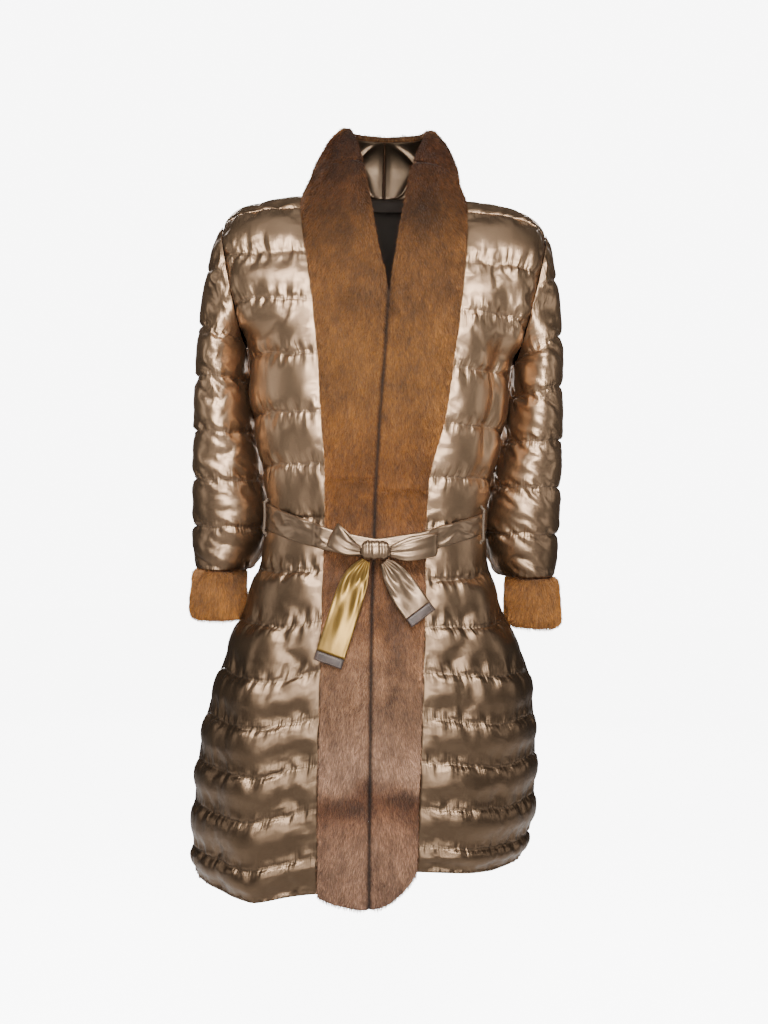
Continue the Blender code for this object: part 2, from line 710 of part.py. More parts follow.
def sleeve_point(side, turn, row):
    """Crest surface of a sleeve; turn runs from -1 through 0 (outside) to 1."""
    outer_z = read(SLEEVE, row, "z")
    outer_x = read(SLEEVE, row, "outer")
    depth = read(SLEEVE, row, "depth")
    inner_z = sleeve_edge_z(side, row)
    if row < SLEEVE_PIT_ROW - 0.001:
        half = armhole_half(side, inner_z)
        grown = eased((row - 1.0) / (SLEEVE_PIT_ROW - 1.0))
        depth = between(half + 0.0005, depth, grown)
        last = math.pi - math.asin(half / depth)
        inner_x = armhole_x(side, inner_z) + SEAM_GAP * 2
    else:
        last = math.pi
        inner_x = read(SLEEVE, row, "inner")
        pit_x = armhole_x(side, armpit_z(side)) + SEAM_GAP * 2
        inner_x = between(pit_x, inner_x, eased((row - SLEEVE_PIT_ROW) / 0.6))
    outer_x = max(outer_x, inner_x + 0.003 + 0.024 * min(row, 0.7))
    wide = (outer_x - inner_x) / (1 - math.cos(last))
    angle = turn * last
    x = outer_x - wide * (1 - math.cos(angle))
    inward = (outer_x - x) / (outer_x - inner_x)
    y = depth * math.sin(angle) + read(SLEEVE, row, "back") * eased(row / 2)
    return Vector((x * SIDES[side], y, between(outer_z, inner_z, inward)))


def sleeve_axis(side):
    """A function that points away from the sleeve's middle line."""
    def outward(point):
        rows = min(SLEEVE, key=lambda row: abs(row.z - point.z))
        middle = (rows.outer + rows.inner) / 2 * SIDES[side]
        lift = 0.03 if point.z > -0.10 else 0.0
        return Vector((point.x - middle, (point.y - rows.back) * 0.6, lift))
    return outward


def outside_armhole(side, point):
    """A sleeve's point kept on the sleeve's side of the armhole's plane."""
    least = armhole_x(side, point.z) + SEAM_GAP * 2
    if point.x * SIDES[side] < least:
        return Vector((least * SIDES[side], point.y, point.z))
    return point


def make_sleeve(side):
    """A sleeve cut in one piece with its seam along the inside of the arm."""
    rows = levels_between(0, WRIST_ROW)
    turns = [-1 + 2 * j / SLEEVE_COLUMNS for j in range(SLEEVE_COLUMNS + 1)]
    grid = [[sleeve_point(side, t, r) for t in turns] for r in rows]
    normals = grid_normals(grid, sleeve_axis(side))
    inward = Vector((-SIDES[side], 0.0, 0.0))
    for i, r in enumerate(rows):
        for j in (0, -1):
            flat = in_armhole_plane(side, Vector((0.0, normals[i][j].y, normals[i][j].z)))
            turned = eased((r - 1.0) / (SLEEVE_PIT_ROW - 1.0))
            normals[i][j] = between(flat, inward, turned).normalized()
    normals[0] = [in_armhole_plane(side, Vector((0.0, n.y * 0.3, 1.0))) for n in normals[0]]
    normals[-1] = [Vector((n.x, n.y, 0.0)).normalized() for n in normals[-1]]
    puffs = [[puff(r, (1 + t) / 2, (1 - t) / 2) for t in turns] for r in rows]
    folds = [[0.0 for _ in turns] for _ in rows]
    fullness = []
    for r in rows:
        full = between(0.25, 1.0, eased(r / 1.6))
        held = 0.7 * (1 - eased(r - 2.0))
        fullness.append([full * (1 - held * eased((abs(t) - 0.4) / 0.4)) for t in turns])
    outer, inner = wall_grids(grid, normals, puffs, folds, fullness)
    for layer in (outer, inner):
        for i, r in enumerate(rows):
            if r < SLEEVE_PIT_ROW - 0.001:
                layer[i] = [outside_armhole(side, p) for p in layer[i]]
    for layer in (outer, inner):
        for i, r in enumerate(rows):
            if r >= SLEEVE_PIT_ROW - 0.001:
                layer[i][0] = layer[i][0] + Vector((0.0, -SEAM_GAP, 0.0))
                layer[i][-1] = layer[i][-1] + Vector((0.0, SEAM_GAP, 0.0))
    return wall_object("sleeve_" + side, outer, inner, DOWN_CLOTH)


def make_cuff(side):
    """Fur cuff: a short rounded tube that stands proud of the sleeve's end."""
    last = SLEEVE[-1]
    sign = SIDES[side]
    profile = (
        (0.00, -0.003), (0.03, 0.55), (0.15, 0.95), (0.50, 1.0),
        (0.85, 0.95), (0.97, 0.60), (1.00, 0.10),
    )
    outer, inner = [], []
    top = last.z - SEAM_GAP * 2
    wide_in = (last.outer - last.inner) / 2 - QUILT_DIP - STITCHED_WALL + 0.001
    deep_in = last.depth - QUILT_DIP - STITCHED_WALL + 0.001
    middle_x = (last.outer + last.inner) / 2
    for down, full in profile:
        z = top - CUFF_HEIGHT * down
        flare = 0.004 * down
        grow = CUFF_WALL + (QUILT_DIP + CUFF_PROUD - CUFF_WALL) * max(full, 0.0)
        shift = (0.004 + 0.003 * down) if side == "left" else 0.001 * down
        ring_out, ring_in = [], []
        for j in range(SLEEVE_COLUMNS + 4):
            angle = 2 * math.pi * j / (SLEEVE_COLUMNS + 4)
            spread = Vector((math.cos(angle), math.sin(angle), 0.0))
            inner_size = Vector(((wide_in + flare) * spread.x, (deep_in + flare) * spread.y, 0))
            centre = Vector(((middle_x + shift) * sign, last.back, z))
            inner_at = centre + inner_size
            tight = between(1.0, 0.45, max(0.0, -spread.x * sign))
            ring_in.append(inner_at)
            ring_out.append(inner_at + spread * (grow * tight))
        outer.append(ring_out)
        inner.append(ring_in)
    return wall_object("cuff_" + side, outer, inner, FUR, wrap=True)


# ---------------------------------------------------------------- fur


def neck_normal(side, share):
    """Outward direction of the back's cloth along the neckline."""
    seam = seam_normal(side, 0.0)
    top = Vector((SIDES[side] * 0.25, 0.10, 0.95)).normalized()
    centre = Vector((0.0, 0.55, 0.83)).normalized()
    if share > 0.7:
        return between(top, seam, eased((share - 0.7) / 0.3)).normalized()
    return between(centre, top, eased(share / 0.7)).normalized()


def attached_edge(side, station):
    """Point, cloth normal and direction off the cloth along the fur's seam.

    Stations 3 to 6 run up the front from row 2 to the shoulder seam, and 6 to 11
    round the neckline to the centre back.
    """
    if station <= 6:
        return fur_edge_frame(side, read(STATION_ROWS, station, "row"))
    share = (11 - station) / 5
    point = neck_point(side, share)
    normal = neck_normal(side, share)
    ahead = neck_point(side, min(share + 0.02, 1.0)) - neck_point(side, max(share - 0.02, 0.0))
    off = ahead.cross(normal).normalized()
    middle = Vector((0.0, 0.02, point.z))
    if off.dot(middle - point) < 0:
        off = -off
    first = fur_edge_frame(side, 0.0)[2]
    off = between(first, off, eased((station - 6) / 0.6)).normalized()
    return point, normal, (off - normal * off.dot(normal)).normalized()


StationRow = namedtuple("StationRow", "station row")
STATION_ROWS = (
    StationRow(3.0, 2.0),
    StationRow(4.0, 4 / 3),
    StationRow(5.0, 2 / 3),
    StationRow(6.0, 0.0),
)
WAIST_ROW = 5.25
FUR_SEAM_GAP = 0.0006     # the fur's edge keeps clear of the cloth's by this much
CUT_SHARE = 0.14          # of a section step, that each fur piece stops short at a cut


STRIP = ((0.0, 0.10), (0.10, 0.75), (0.30, 1.0), (0.50, 1.0), (0.72, 1.0), (0.92, 0.75), (1.0, 0.0))


def fur_layers(sections):
    """Outer and inner points of a strip of fur, and its outward directions."""
    grid = [section["points"] for section in sections]
    normals = grid_normals(grid, lambda p: Vector((p.x, p.y * 1.2, 0.10)))
    outer, inner, directions = [], [], []
    for section, n_row in zip(sections, normals):
        outer.append([])
        inner.append([])
        directions.append([])
        for (share, full), p, n in zip(STRIP, section["points"], n_row):
            n = between(section["normal"], n, eased(share / 0.25)).normalized()
            outer[-1].append(p + n * between(-0.001, section["out"], full))
            inner[-1].append(p - n * section["inside"])
            directions[-1].append(n)
    return outer, inner, directions


def lower_section(side, row, drop=0.0):
    """Section of the fur that lies on the front, level with a body row."""
    edge_x, edge_y, _ = panel_edge(side, row)
    point, normal, off = fur_edge_frame(side, row)
    start = point + off * FUR_SEAM_GAP
    free_x = read(FUR_LINES, point.z, "centre") + SIDES[side] * FRONT_GAP
    points = []
    for share, _ in STRIP:
        x = between(start.x, free_x, share)
        z = start.z - drop * math.sin(share * math.pi / 2) ** 0.8
        y = start.y
        if share > 0:
            y = -ring_y(side, x, z, edge_x, edge_y, "front")
        points.append(Vector((x, y, z)))
    return {"points": points, "normal": normal, "out": FUR_OUT, "inside": FUR_IN}


def upper_section(side, station):
    """Section of the lapel or collar from the seam to the free standing edge."""
    point, normal, off = attached_edge(side, station)
    free_x = read(FREE_EDGE, station, side + "_x")
    free = Vector((free_x, read(FREE_EDGE, station, "y"), read(FREE_EDGE, station, "z")))
    start = point + off * FUR_SEAM_GAP
    across = free - start
    away = Vector((start.x + free.x, (start.y + free.y) * 1.3 - 0.02, 0.06))
    along = across.normalized()
    bow = (away - along * away.dot(along)).normalized()
    bulge = read(FREE_EDGE, station, "bulge")
    points = [start + across * q + bow * (bulge * 4 * q * (1 - q)) for q, _ in STRIP]
    out = read(FREE_EDGE, station, "wall_out")
    inside = read(FREE_EDGE, station, "wall_in")
    return {"points": points, "normal": normal, "out": out, "inside": inside}


def blended(low, high, share):
    """A section between two sections."""
    points = [between(a, b, share) for a, b in zip(low["points"], high["points"])]
    normal = between(low["normal"], high["normal"], share).normalized()
    out = between(low["out"], high["out"], share)
    inside = between(low["inside"], high["inside"], share)
    return {"points": points, "normal": normal, "out": out, "inside": inside}


def third_rows(first, last):
    """Rows from first to last that fall on the levels of the cloth beside them."""
    low, high = min(first, last), max(first, last)
    inside = [k / CHANNEL_STEPS for k in range(HEM_ROW * CHANNEL_STEPS)]
    rows = [low] + [r for r in inside if low + 0.1 < r < high - 0.1] + [high]
    return rows if first < last else rows[::-1]


def make_facing(side):
    """Fur strip from the waist seam down to the hem, rounded at its end."""
    hem_drop = {"right": 0.014, "left": 0.047}[side]
    waist = WAIST_ROW + 0.004
    rows = third_rows(waist, HEM_ROW)[:-1:2] + [HEM_ROW]
    sections = []
    for row in rows:
        share = (row - waist) / (HEM_ROW - waist)
        sections.append(lower_section(side, row, hem_drop * eased((share - 0.7) / 0.3)))
    outer, inner, _ = fur_layers(sections)
    return wall_object("fur_facing_" + side, outer, inner, FUR)


def neck_sections(side):
    """Sections from the waist seam up the chest and round to the centre back."""
    sections = [lower_section(side, row) for row in third_rows(WAIST_ROW - 0.004, 2.0)]
    for i in range(1, 25):
        station = 3 + i / 3
        section = upper_section(side, station)
        if station < 4:
            section = blended(lower_section(side, 2.0), section, eased(station - 3))
        sections.append(section)
    return sections


def make_neck_fur():
    """The two lapels, the standing back collar between them and its lining."""
    right = neck_sections("right")
    left = neck_sections("left")
    outer, inner, directions = fur_layers(right + left[-2::-1])
    middle = len(right) - 1
    cut = middle - round((11 - LAPEL_TOP) * 3)
    far = len(outer) - 1 - cut
    pieces = (("fur_lapel_right", 0, cut), ("fur_collar", cut, far))
    pieces += (("fur_lapel_left", far, len(outer) - 1),)
    for name, first, last in pieces:
        layers = []
        for layer in (outer, inner):
            part = [list(row) for row in layer[first:last + 1]]
            if first:
                part[0] = [between(p, q, CUT_SHARE) for p, q in zip(part[0], part[1])]
            part[-1] = part[-1] if last == len(outer) - 1 else [
                between(p, q, CUT_SHARE) for p, q in zip(part[-1], part[-2])
            ]
            layers.append(part)
        wall_object(name, layers[0], layers[1], FUR)
    for side, first, last in (("right", cut + 1, middle), ("left", middle, far - 1)):
        make_lining(side, inner[first:last + 1], directions[first:last + 1])


def make_lining(side, skin, directions):
    """Half of the collar's lining, on the skin side of the standing collar."""
    layers = []
    for depth in (LINING_GAP, LINING_GAP + LINING_THICK):
        layers.append([
            [p - n * depth for p, n in zip(p_row[:-1], n_row[:-1])]
            for p_row, n_row in zip(skin, directions)
        ])
    for layer in layers:
        at, step = (-1, -2) if side == "right" else (0, 1)
        layer[at] = [between(p, q, LINING_CUT) for p, q in zip(layer[at], layer[step])]
        for row in layer:
            row[0] = between(row[0], row[1], 0.15)
    return wall_object("collar_lining_" + side, layers[1], layers[0], LINING)


def make_tape():
    """Tape that hangs inside the back neckline, below the lining."""
    shares = [TAPE_REACH * k / TAPE_STEPS for k in range(TAPE_STEPS + 1)]
    columns = [("right", s) for s in reversed(shares[1:])] + [("left", s) for s in shares]
    layers = []
    for depth in (0.0, LINING_THICK):
        grid = []
        for below, down in TAPE_ROWS:
            row = []
            for side, s in columns:
                point, normal, off = attached_edge(side, 11 - 5 * s)
                hang = normal * below + Vector((0.0, 0.0, TAPE_HEIGHT * down))
                clear = between(TAPE_OFF, TAPE_END_OFF, s / TAPE_REACH)
                row.append(point + off * (clear + depth) - hang)
            grid.append(row)
        layers.append(grid)
    return wall_object("neck_tape", layers[0], layers[1], LINING)


# ---------------------------------------------------------------- belt


def ring_frame(side, angle, z):
    """Point and outward direction of the body's ring; angle 0 is the centre front."""
    wide = read(BODY, z, side)
    deep = read(BODY, z, "front" if angle <= math.pi / 2 else "back")
    across = abs(math.sin(angle)) ** (2 / RING_POWER)
    ahead = abs(math.cos(angle)) ** (2 / RING_POWER)
    facing = -1.0 if angle <= math.pi / 2 else 1.0
    point = Vector((wide * across * SIDES[side], deep * ahead * facing, z))
    away = Vector((
        SIDES[side] * across ** (RING_POWER - 1) / wide,
        facing * ahead ** (RING_POWER - 1) / deep,
        0.0,
    ))
    return point, away.normalized()


def fur_front(x, z):
    """Depth of the fur's outer surface on the front, at a place."""
    side = "right" if x < 0 else "left"
    return ring_y(side, x, z, read(BODY, z, side), 0.0, "front") + FUR_OUT


def belt_front(x, z):
    """Depth of the belt's outer surface near the knot."""
    lift = BELT_FUR_LIFT - FUR_OUT
    return fur_front(x, z) + lift + BELT_CLEAR + BELT_THICK + BELT_RIPPLE


def make_belt():
    """The belt band: a closed ring that stands just off the coat."""
    around = [("right", math.pi * k / BELT_STEPS) for k in range(BELT_STEPS, 0, -1)]
    around += [("left", math.pi * k / BELT_STEPS) for k in range(BELT_STEPS)]
    outer, inner = [], []
    for k, ripple in enumerate(BELT_PROFILE):
        rise = 0.5 - k / (len(BELT_PROFILE) - 1)
        out_row, in_row = [], []
        for side, angle in around:
            share = angle / math.pi
            width = read(BELT_LINE, share, side)
            z = read(BELT_LINE, share, "z") + width * rise
            point, away = ring_frame(side, angle, z)
            near = (BELT_FUR_FROM - abs(point.x)) / (BELT_FUR_FROM - BELT_FUR_TO)
            lift = BELT_FUR_LIFT * eased(near) if angle < math.pi / 2 else 0.0
            skin = point + away * (BELT_CLEAR + lift)
            in_row.append(skin)
            out_row.append(skin + away * (BELT_THICK + BELT_RIPPLE * ripple))
        outer.append(out_row)
        inner.append(in_row)
    return wall_object("belt_band", outer, inner, BELT_CLOTH, wrap=True)


def make_knot():
    """The wrapped knot, in front of the belt."""
    back_y = -belt_front(0.0, KNOT_Z) - PIECE_GAP
    rings = []
    for ring in KNOT_RINGS:
        points = []
        for k in range(KNOT_POINTS):
            angle = 2 * math.pi * k / KNOT_POINTS
            y = math.copysign(abs(math.cos(angle)) ** 0.8, math.cos(angle))
            z = math.copysign(abs(math.sin(angle)) ** 0.8, math.sin(angle))
            points.append(Vector((
                KNOT_X + KNOT_SIZE.x * (ring.along - 0.5),
                back_y - KNOT_SIZE.y / 2 * (1 + y * ring.full),
                KNOT_Z + KNOT_SIZE.z / 2 * z * ring.full,
            )))
        rings.append(points)
    return capped_rings("belt_knot", rings, BELT_CLOTH)


def half_steps(table):
    """Values of a table's first column, two for each of its rows."""
    return [k / 2 for k in range(2 * len(table) - 1)]


def make_loop(side):
    """One loop of the bow: the strip goes out from the knot and comes back."""
    table = LOOPS[side]
    middles, spreads = [], []
    for step in half_steps(table):
        x, z = read(table, step, "x"), read(table, step, "z")
        y = -belt_front(x, z) - read(table, step, "out")
        middles.append(Vector((x, y, z)))
        spread = Vector((read(table, step, "lean"), 0.0, 1.0)).normalized()
        spreads.append(spread * read(table, step, "width"))
    outer, inner = [], []
    last = len(middles) - 1
    for i, (middle, spread) in enumerate(zip(middles, spreads)):
        run = middles[min(i + 1, last)] - middles[max(i - 1, 0)]
        normal = run.cross(spread).normalized() * (TAIL_THICK / 2)
        outer.append([middle + spread * k + normal for k in STRIP_PLACES])
        inner.append([middle + spread * k - normal for k in STRIP_PLACES])
    return wall_object("belt_loop_" + side, outer, inner, BELT_CLOTH)


def lying_strip(name, stations, thick, finish):
    """A strip that hangs in front of the fur, from places along its middle."""
    outer, inner = [], []
    last = len(stations) - 1
    for i, at in enumerate(stations):
        before, after = stations[max(i - 1, 0)], stations[min(i + 1, last)]
        run = Vector((after.x - before.x, 0.0, after.z - before.z)).normalized()
        spread = Vector((-run.z, 0.0, run.x)) * at.width
        out_row, in_row = [], []
        for k in STRIP_PLACES:
            place = Vector((at.x, 0.0, at.z)) + spread * k
            place.y = -fur_front(place.x, place.z) - at.out
            out_row.append(place - Vector((0.0, thick / 2, 0.0)))
            in_row.append(place + Vector((0.0, thick / 2, 0.0)))
        outer.append(out_row)
        inner.append(in_row)
    return wall_object(name, outer, inner, finish)


def make_tail(side):
    """A hanging belt end and the leather tip that closes it."""
    table = TAILS[side]
    columns = TailPoint._fields[1:]
    stations = []
    for step in half_steps(table):
        values = [read(table, step, column) for column in columns]
        stations.append(TailPoint(step, *values))
    finish = BELT_SATIN if side == "right" else BELT_CLOTH
    lying_strip("belt_end_" + side, stations, TAIL_THICK, finish)
    end, before = stations[-1], stations[-2]
    run = Vector((end.x - before.x, 0.0, end.z - before.z)).normalized()
    tip = []
    for length in (PIECE_GAP, TIP_LENGTH / 2, TIP_LENGTH):
        place = Vector((end.x, 0.0, end.z)) + run * length
        tip.append(end._replace(x=place.x, z=place.z))
    lying_strip("belt_tip_" + side, tip, TIP_THICK, LEATHER)


def make_carrier(side):
    """A thin rolled loop that holds the belt at the side."""
    share = math.asin((CARRIER_X[side] / read(BODY, -0.48, side)) ** (RING_POWER / 2))
    belt_z = read(BELT_LINE, share / math.pi, "z")
    middles, outs = [], []
    for place in CARRIER_PATH:
        z = belt_z + place.rise
        point, away = ring_frame(side, share, z)
        middles.append(point + away * place.lift)
        outs.append(away)
    rings = []
    last = len(middles) - 1
    for i, middle in enumerate(middles):
        run = (middles[min(i + 1, last)] - middles[max(i - 1, 0)]).normalized()
        across = run.cross(outs[i]).normalized()
        up = across.cross(run).normalized()
        rings.append([
            middle + (across * math.cos(a) + up * math.sin(a)) * CARRIER_RADIUS
            for a in (2 * math.pi * k / CARRIER_POINTS for k in range(CARRIER_POINTS))
        ])
    return capped_rings("belt_carrier_" + side, rings, BELT_CLOTH)


# ---------------------------------------------------------------- build

for old in list(bpy.data.objects):
    bpy.data.objects.remove(old, do_unlink=True)

coat = bpy.data.collections.new("down_coat")
bpy.context.scene.collection.children.link(coat)

DOWN_CLOTH = material("down_cloth", (0.30, 0.22, 0.15), 0.32)
FUR = material("fur", (0.36, 0.17, 0.06), 0.75)
BELT_CLOTH = material("belt_cloth", (0.36, 0.28, 0.19), 0.40)
BELT_SATIN = material("belt_satin", (0.50, 0.36, 0.15), 0.35)
LINING = material("collar_lining", (0.30, 0.24, 0.16), 0.35)
LEATHER = material("tip_leather", (0.12, 0.08, 0.06), 0.50)

for side in SIDES:
    make_front(side)
    make_sleeve(side)
    make_cuff(side)
    make_facing(side)
    make_loop(side)
    make_tail(side)
    make_carrier(side)
make_back()
make_neck_fur()
make_tape()
make_belt()
make_knot()
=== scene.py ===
import math
from collections import namedtuple

import bmesh
import bpy
import numpy as np
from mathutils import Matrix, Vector
from mathutils.kdtree import KDTree


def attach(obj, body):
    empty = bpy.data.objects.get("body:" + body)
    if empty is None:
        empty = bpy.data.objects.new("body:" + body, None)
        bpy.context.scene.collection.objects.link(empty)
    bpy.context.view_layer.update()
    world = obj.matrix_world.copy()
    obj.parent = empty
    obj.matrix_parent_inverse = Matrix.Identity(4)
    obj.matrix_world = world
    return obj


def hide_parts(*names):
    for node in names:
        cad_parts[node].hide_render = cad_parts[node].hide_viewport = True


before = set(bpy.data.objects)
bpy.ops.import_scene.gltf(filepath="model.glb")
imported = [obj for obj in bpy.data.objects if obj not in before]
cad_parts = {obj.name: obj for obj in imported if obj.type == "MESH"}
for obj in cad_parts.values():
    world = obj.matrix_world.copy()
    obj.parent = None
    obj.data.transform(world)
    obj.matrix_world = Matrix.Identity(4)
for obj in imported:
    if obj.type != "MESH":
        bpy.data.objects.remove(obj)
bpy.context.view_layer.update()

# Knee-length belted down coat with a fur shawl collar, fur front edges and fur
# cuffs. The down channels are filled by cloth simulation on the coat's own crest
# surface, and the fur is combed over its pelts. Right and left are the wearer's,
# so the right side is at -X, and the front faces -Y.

# ---------------------------------------------------------------- coat sizes

QUILT_DIP = 0.008        # how far a stitched row lies below the crest of its channel
STITCHED_WALL = 0.004    # wall left where the outer cloth is stitched down
CHANNEL_STEPS = 3        # levels of the cut from one stitched row to the next
RING_POWER = 2.3         # corner fullness of the body's rings

ARMHOLE_TOP = -0.056          # height of the shoulder tip
ARMHOLE_DEPTH = 0.080         # half of the armhole, front to back
ARMHOLE_BOTTOM_X = 0.1955     # from the centre to the armpit
ARMHOLE_LEAN = 0.22           # how far the armhole leans out for each metre up
ARMPIT_ROW = 2 + 2 / 3        # the body's row, counted from the shoulder, at the armpit

FRONT_COLUMNS = 8
BACK_NECK_COLUMNS = 4         # on each side of the centre back
BACK_SHOULDER_COLUMNS = 4     # on each side
YOKE_ROWS = 3                 # back channels from the shoulder seam to row 1
BACK_NECK_HEIGHT = 0.021      # the neckline at the centre back
BACK_NECK_DEPTH = 0.088
NECK_SHARE = 0.55             # share of the back's half-width that is under the neck
SLEEVE_COLUMNS = 16
SEAM_GAP = 0.0003             # on each side of a seam
SIDES = {"right": -1.0, "left": 1.0}

ROW_WAVE = 0.0014             # how far a stitched row wanders along the cloth
SIDE_HELD = 0.92              # share of a row's dip that is lost at a side seam

# Soft V that the rows hang in at the folds of the skirt: its place from the near edge
# to the side, the rows it comes in and is full at, and how far it hangs down.
Sag = namedtuple("Sag", "panel share row_from row_full drop")
SAGS = (
    Sag("front_right", 0.27, 6.4, 9.0, 0.019),
    Sag("front_left", 0.42, 6.4, 10.0, 0.008),
    Sag("front_left", 0.55, 1.0, 3.0, -0.004),
    Sag("front_right", 0.50, 1.0, 3.0, -0.005),
    Sag("back", 0.50, 8.0, 11.0, 0.008),
)
SLIDE_MOST = 0.006            # how far filled cloth may slide along the coat
SLEEVE_LEAN = 0.95            # slope of the sleeves' folds across a channel
SLEEVE_REST = 0.0090          # how far a sleeve leans in behind the coat's side

# How the cloth of the body and of the sleeves hangs: strength of its broad folds, how
# far its small bumps are calmed, the share of the rows' depth that the filled cloth
# keeps, and by row how high in its channel the down sits. A plus raises the upper half
# of the channel and lowers the lower half.
Drape = namedtuple("Drape", "drag calm dip slump")
BODY_DRAPE = Drape(0.5, 0.50, 0.85, (
    (0.0, -0.0016), (2.5, -0.0014), (4.5, 0.0), (6.0, 0.0012), (7.5, 0.0030), (14.0, 0.0032),
))
SLEEVE_DRAPE = Drape(2.4, 0.15, 0.50, (
    (0.0, -0.0012), (2.0, -0.0010), (3.5, 0.0), (7.0, 0.0006),
))
CUFF_PROUD = 0.008            # how far the cuff stands outside the sleeve
CUFF_WALL = 0.007
CUFF_HEIGHT = 0.072

# Cuff: share of its height and share of its full thickness there.
CUFF_PROFILE = (
    (0.00, -0.003), (0.03, 0.55), (0.15, 0.95), (0.50, 1.0),
    (0.85, 0.95), (0.97, 0.60), (1.00, 0.10),
)

# Rings of the coat's crest surface: half-width to each side seam, depth to the
# front and to the back.
Ring = namedtuple("Ring", "z right left front back")
BODY = (
    Ring(-0.020, 0.2350, 0.2350, 0.042, 0.070),
    Ring(-0.050, 0.2300, 0.2300, 0.074, 0.092),
    Ring(-0.080, 0.2250, 0.2250, 0.098, 0.104),
    Ring(-0.110, 0.2200, 0.2200, 0.114, 0.112),
    Ring(-0.170, 0.2080, 0.2080, 0.132, 0.122),
    Ring(-0.240, 0.1955, 0.1955, 0.140, 0.127),
    Ring(-0.330, 0.1855, 0.1870, 0.135, 0.121),
    Ring(-0.410, 0.1690, 0.1715, 0.122, 0.110),
    Ring(-0.480, 0.1580, 0.1600, 0.112, 0.102),
    Ring(-0.550, 0.1700, 0.1700, 0.119, 0.116),
    Ring(-0.620, 0.1930, 0.1945, 0.131, 0.134),
    Ring(-0.690, 0.2190, 0.2285, 0.141, 0.148),
    Ring(-0.760, 0.2400, 0.2410, 0.149, 0.158),
    Ring(-0.830, 0.2530, 0.2450, 0.155, 0.165),
    Ring(-0.900, 0.2580, 0.2430, 0.160, 0.170),
    Ring(-0.960, 0.2590, 0.2320, 0.163, 0.173),
    Ring(-1.010, 0.2540, 0.2250, 0.164, 0.174),
)

# Heights of the stitched rows, from the shoulder seam (row 0) to the hem (row 14),
# where each meets the fur edge and the side seam or armhole.
Row = namedtuple("Row", "number right_fur right_side left_fur left_side")
ROWS = (
    Row(0, -0.028, -0.066, -0.028, -0.066),
    Row(1, -0.108, -0.112, -0.117, -0.131),
    Row(2, -0.177, -0.184, -0.189, -0.207),
    Row(3, -0.252, -0.260, -0.267, -0.276),
    Row(4, -0.332, -0.341, -0.345, -0.352),
    Row(5, -0.404, -0.410, -0.418, -0.420),
    Row(6, -0.478, -0.483, -0.489, -0.484),
    Row(7, -0.548, -0.557, -0.558, -0.547),
    Row(8, -0.616, -0.630, -0.621, -0.616),
    Row(9, -0.684, -0.700, -0.683, -0.690),
    Row(10, -0.747, -0.765, -0.743, -0.755),
    Row(11, -0.809, -0.833, -0.801, -0.812),
    Row(12, -0.868, -0.897, -0.860, -0.869),
    Row(13, -0.931, -0.960, -0.911, -0.929),
    Row(14, -0.980, -1.000, -0.946, -0.960),
)
HEM_ROW = 14

# Where the down cloth stops and the fur starts, measured from the centre.
FurLine = namedtuple("FurLine", "z right left centre")
FUR_LINES = (
    FurLine(-0.020, 0.1190, 0.1190, 0.0100),
    FurLine(-0.100, 0.1060, 0.1150, 0.0100),
    FurLine(-0.162, 0.0950, 0.1100, 0.0100),
    FurLine(-0.246, 0.0855, 0.1030, 0.0070),
    FurLine(-0.341, 0.0775, 0.0910, 0.0020),
    FurLine(-0.423, 0.0715, 0.0720, -0.0010),
    FurLine(-0.600, 0.0700, 0.0700, -0.0025),
    FurLine(-0.849, 0.0680, 0.0670, 0.0010),
    FurLine(-1.000, 0.0655, 0.0660, 0.0040),
)

# Large soft folds of the body cloth. Share runs from the fur edge or the centre
# back (0) to the side seam (1); a positive height stands out.
Fold = namedtuple("Fold", "panel row_a share_a row_b share_b width height")
FOLDS = (
    Fold("front_right", 7.5, 0.38, 14.5, 0.28, 0.13, 0.012),
    Fold("front_right", 7.5, 0.05, 14.5, 0.05, 0.12, -0.006),
    Fold("front_right", 4.2, 0.22, 6.6, 0.12, 0.10, -0.007),
    Fold("front_left", 6.5, 0.45, 11.0, 0.45, 0.16, 0.007),
    Fold("front_left", 1.0, 0.42, 5.2, 0.52, 0.09, -0.009),
    Fold("front_left", 11.0, 0.20, 14.5, 0.25, 0.15, 0.006),
    Fold("back_right", 7.0, 0.42, 14.5, 0.48, 0.14, 0.010),
    Fold("back_left", 7.0, 0.38, 14.5, 0.44, 0.14, 0.009),
)

# Sleeve sections: height of the row at the outside, its outer and inner sides
# measured from the centre, half depth and how far back its middle lies.
Sleeve = namedtuple("Sleeve", "number z outer inner depth back")
SLEEVE = (
    Sleeve(0, -0.0575, 0.2365, 0.2250, 0.024, 0.000),
    Sleeve(1, -0.1250, 0.2550, 0.2100, 0.084, 0.001),
    Sleeve(2, -0.2040, 0.2655, 0.2000, 0.087, 0.004),
    Sleeve(3, -0.2785, 0.2700, 0.1950, 0.085, 0.012),
    Sleeve(4, -0.3575, 0.2725, 0.1860, 0.080, 0.018),
    Sleeve(5, -0.4275, 0.2740, 0.1715, 0.076, 0.024),
    Sleeve(6, -0.4965, 0.2735, 0.1630, 0.072, 0.030),
    Sleeve(7, -0.5605, 0.2700, 0.1885, 0.067, 0.034),
)
SLEEVE_PIT_ROW = 2 + 1 / 3
WRIST_ROW = 7


def between(low, high, share):
    """The value or point at a share of the way from low to high."""
    return low + (high - low) * share


def eased(share):
    """A share from 0 to 1 with soft ends."""
    share = min(max(share, 0.0), 1.0)
    return share * share * (3 - 2 * share)


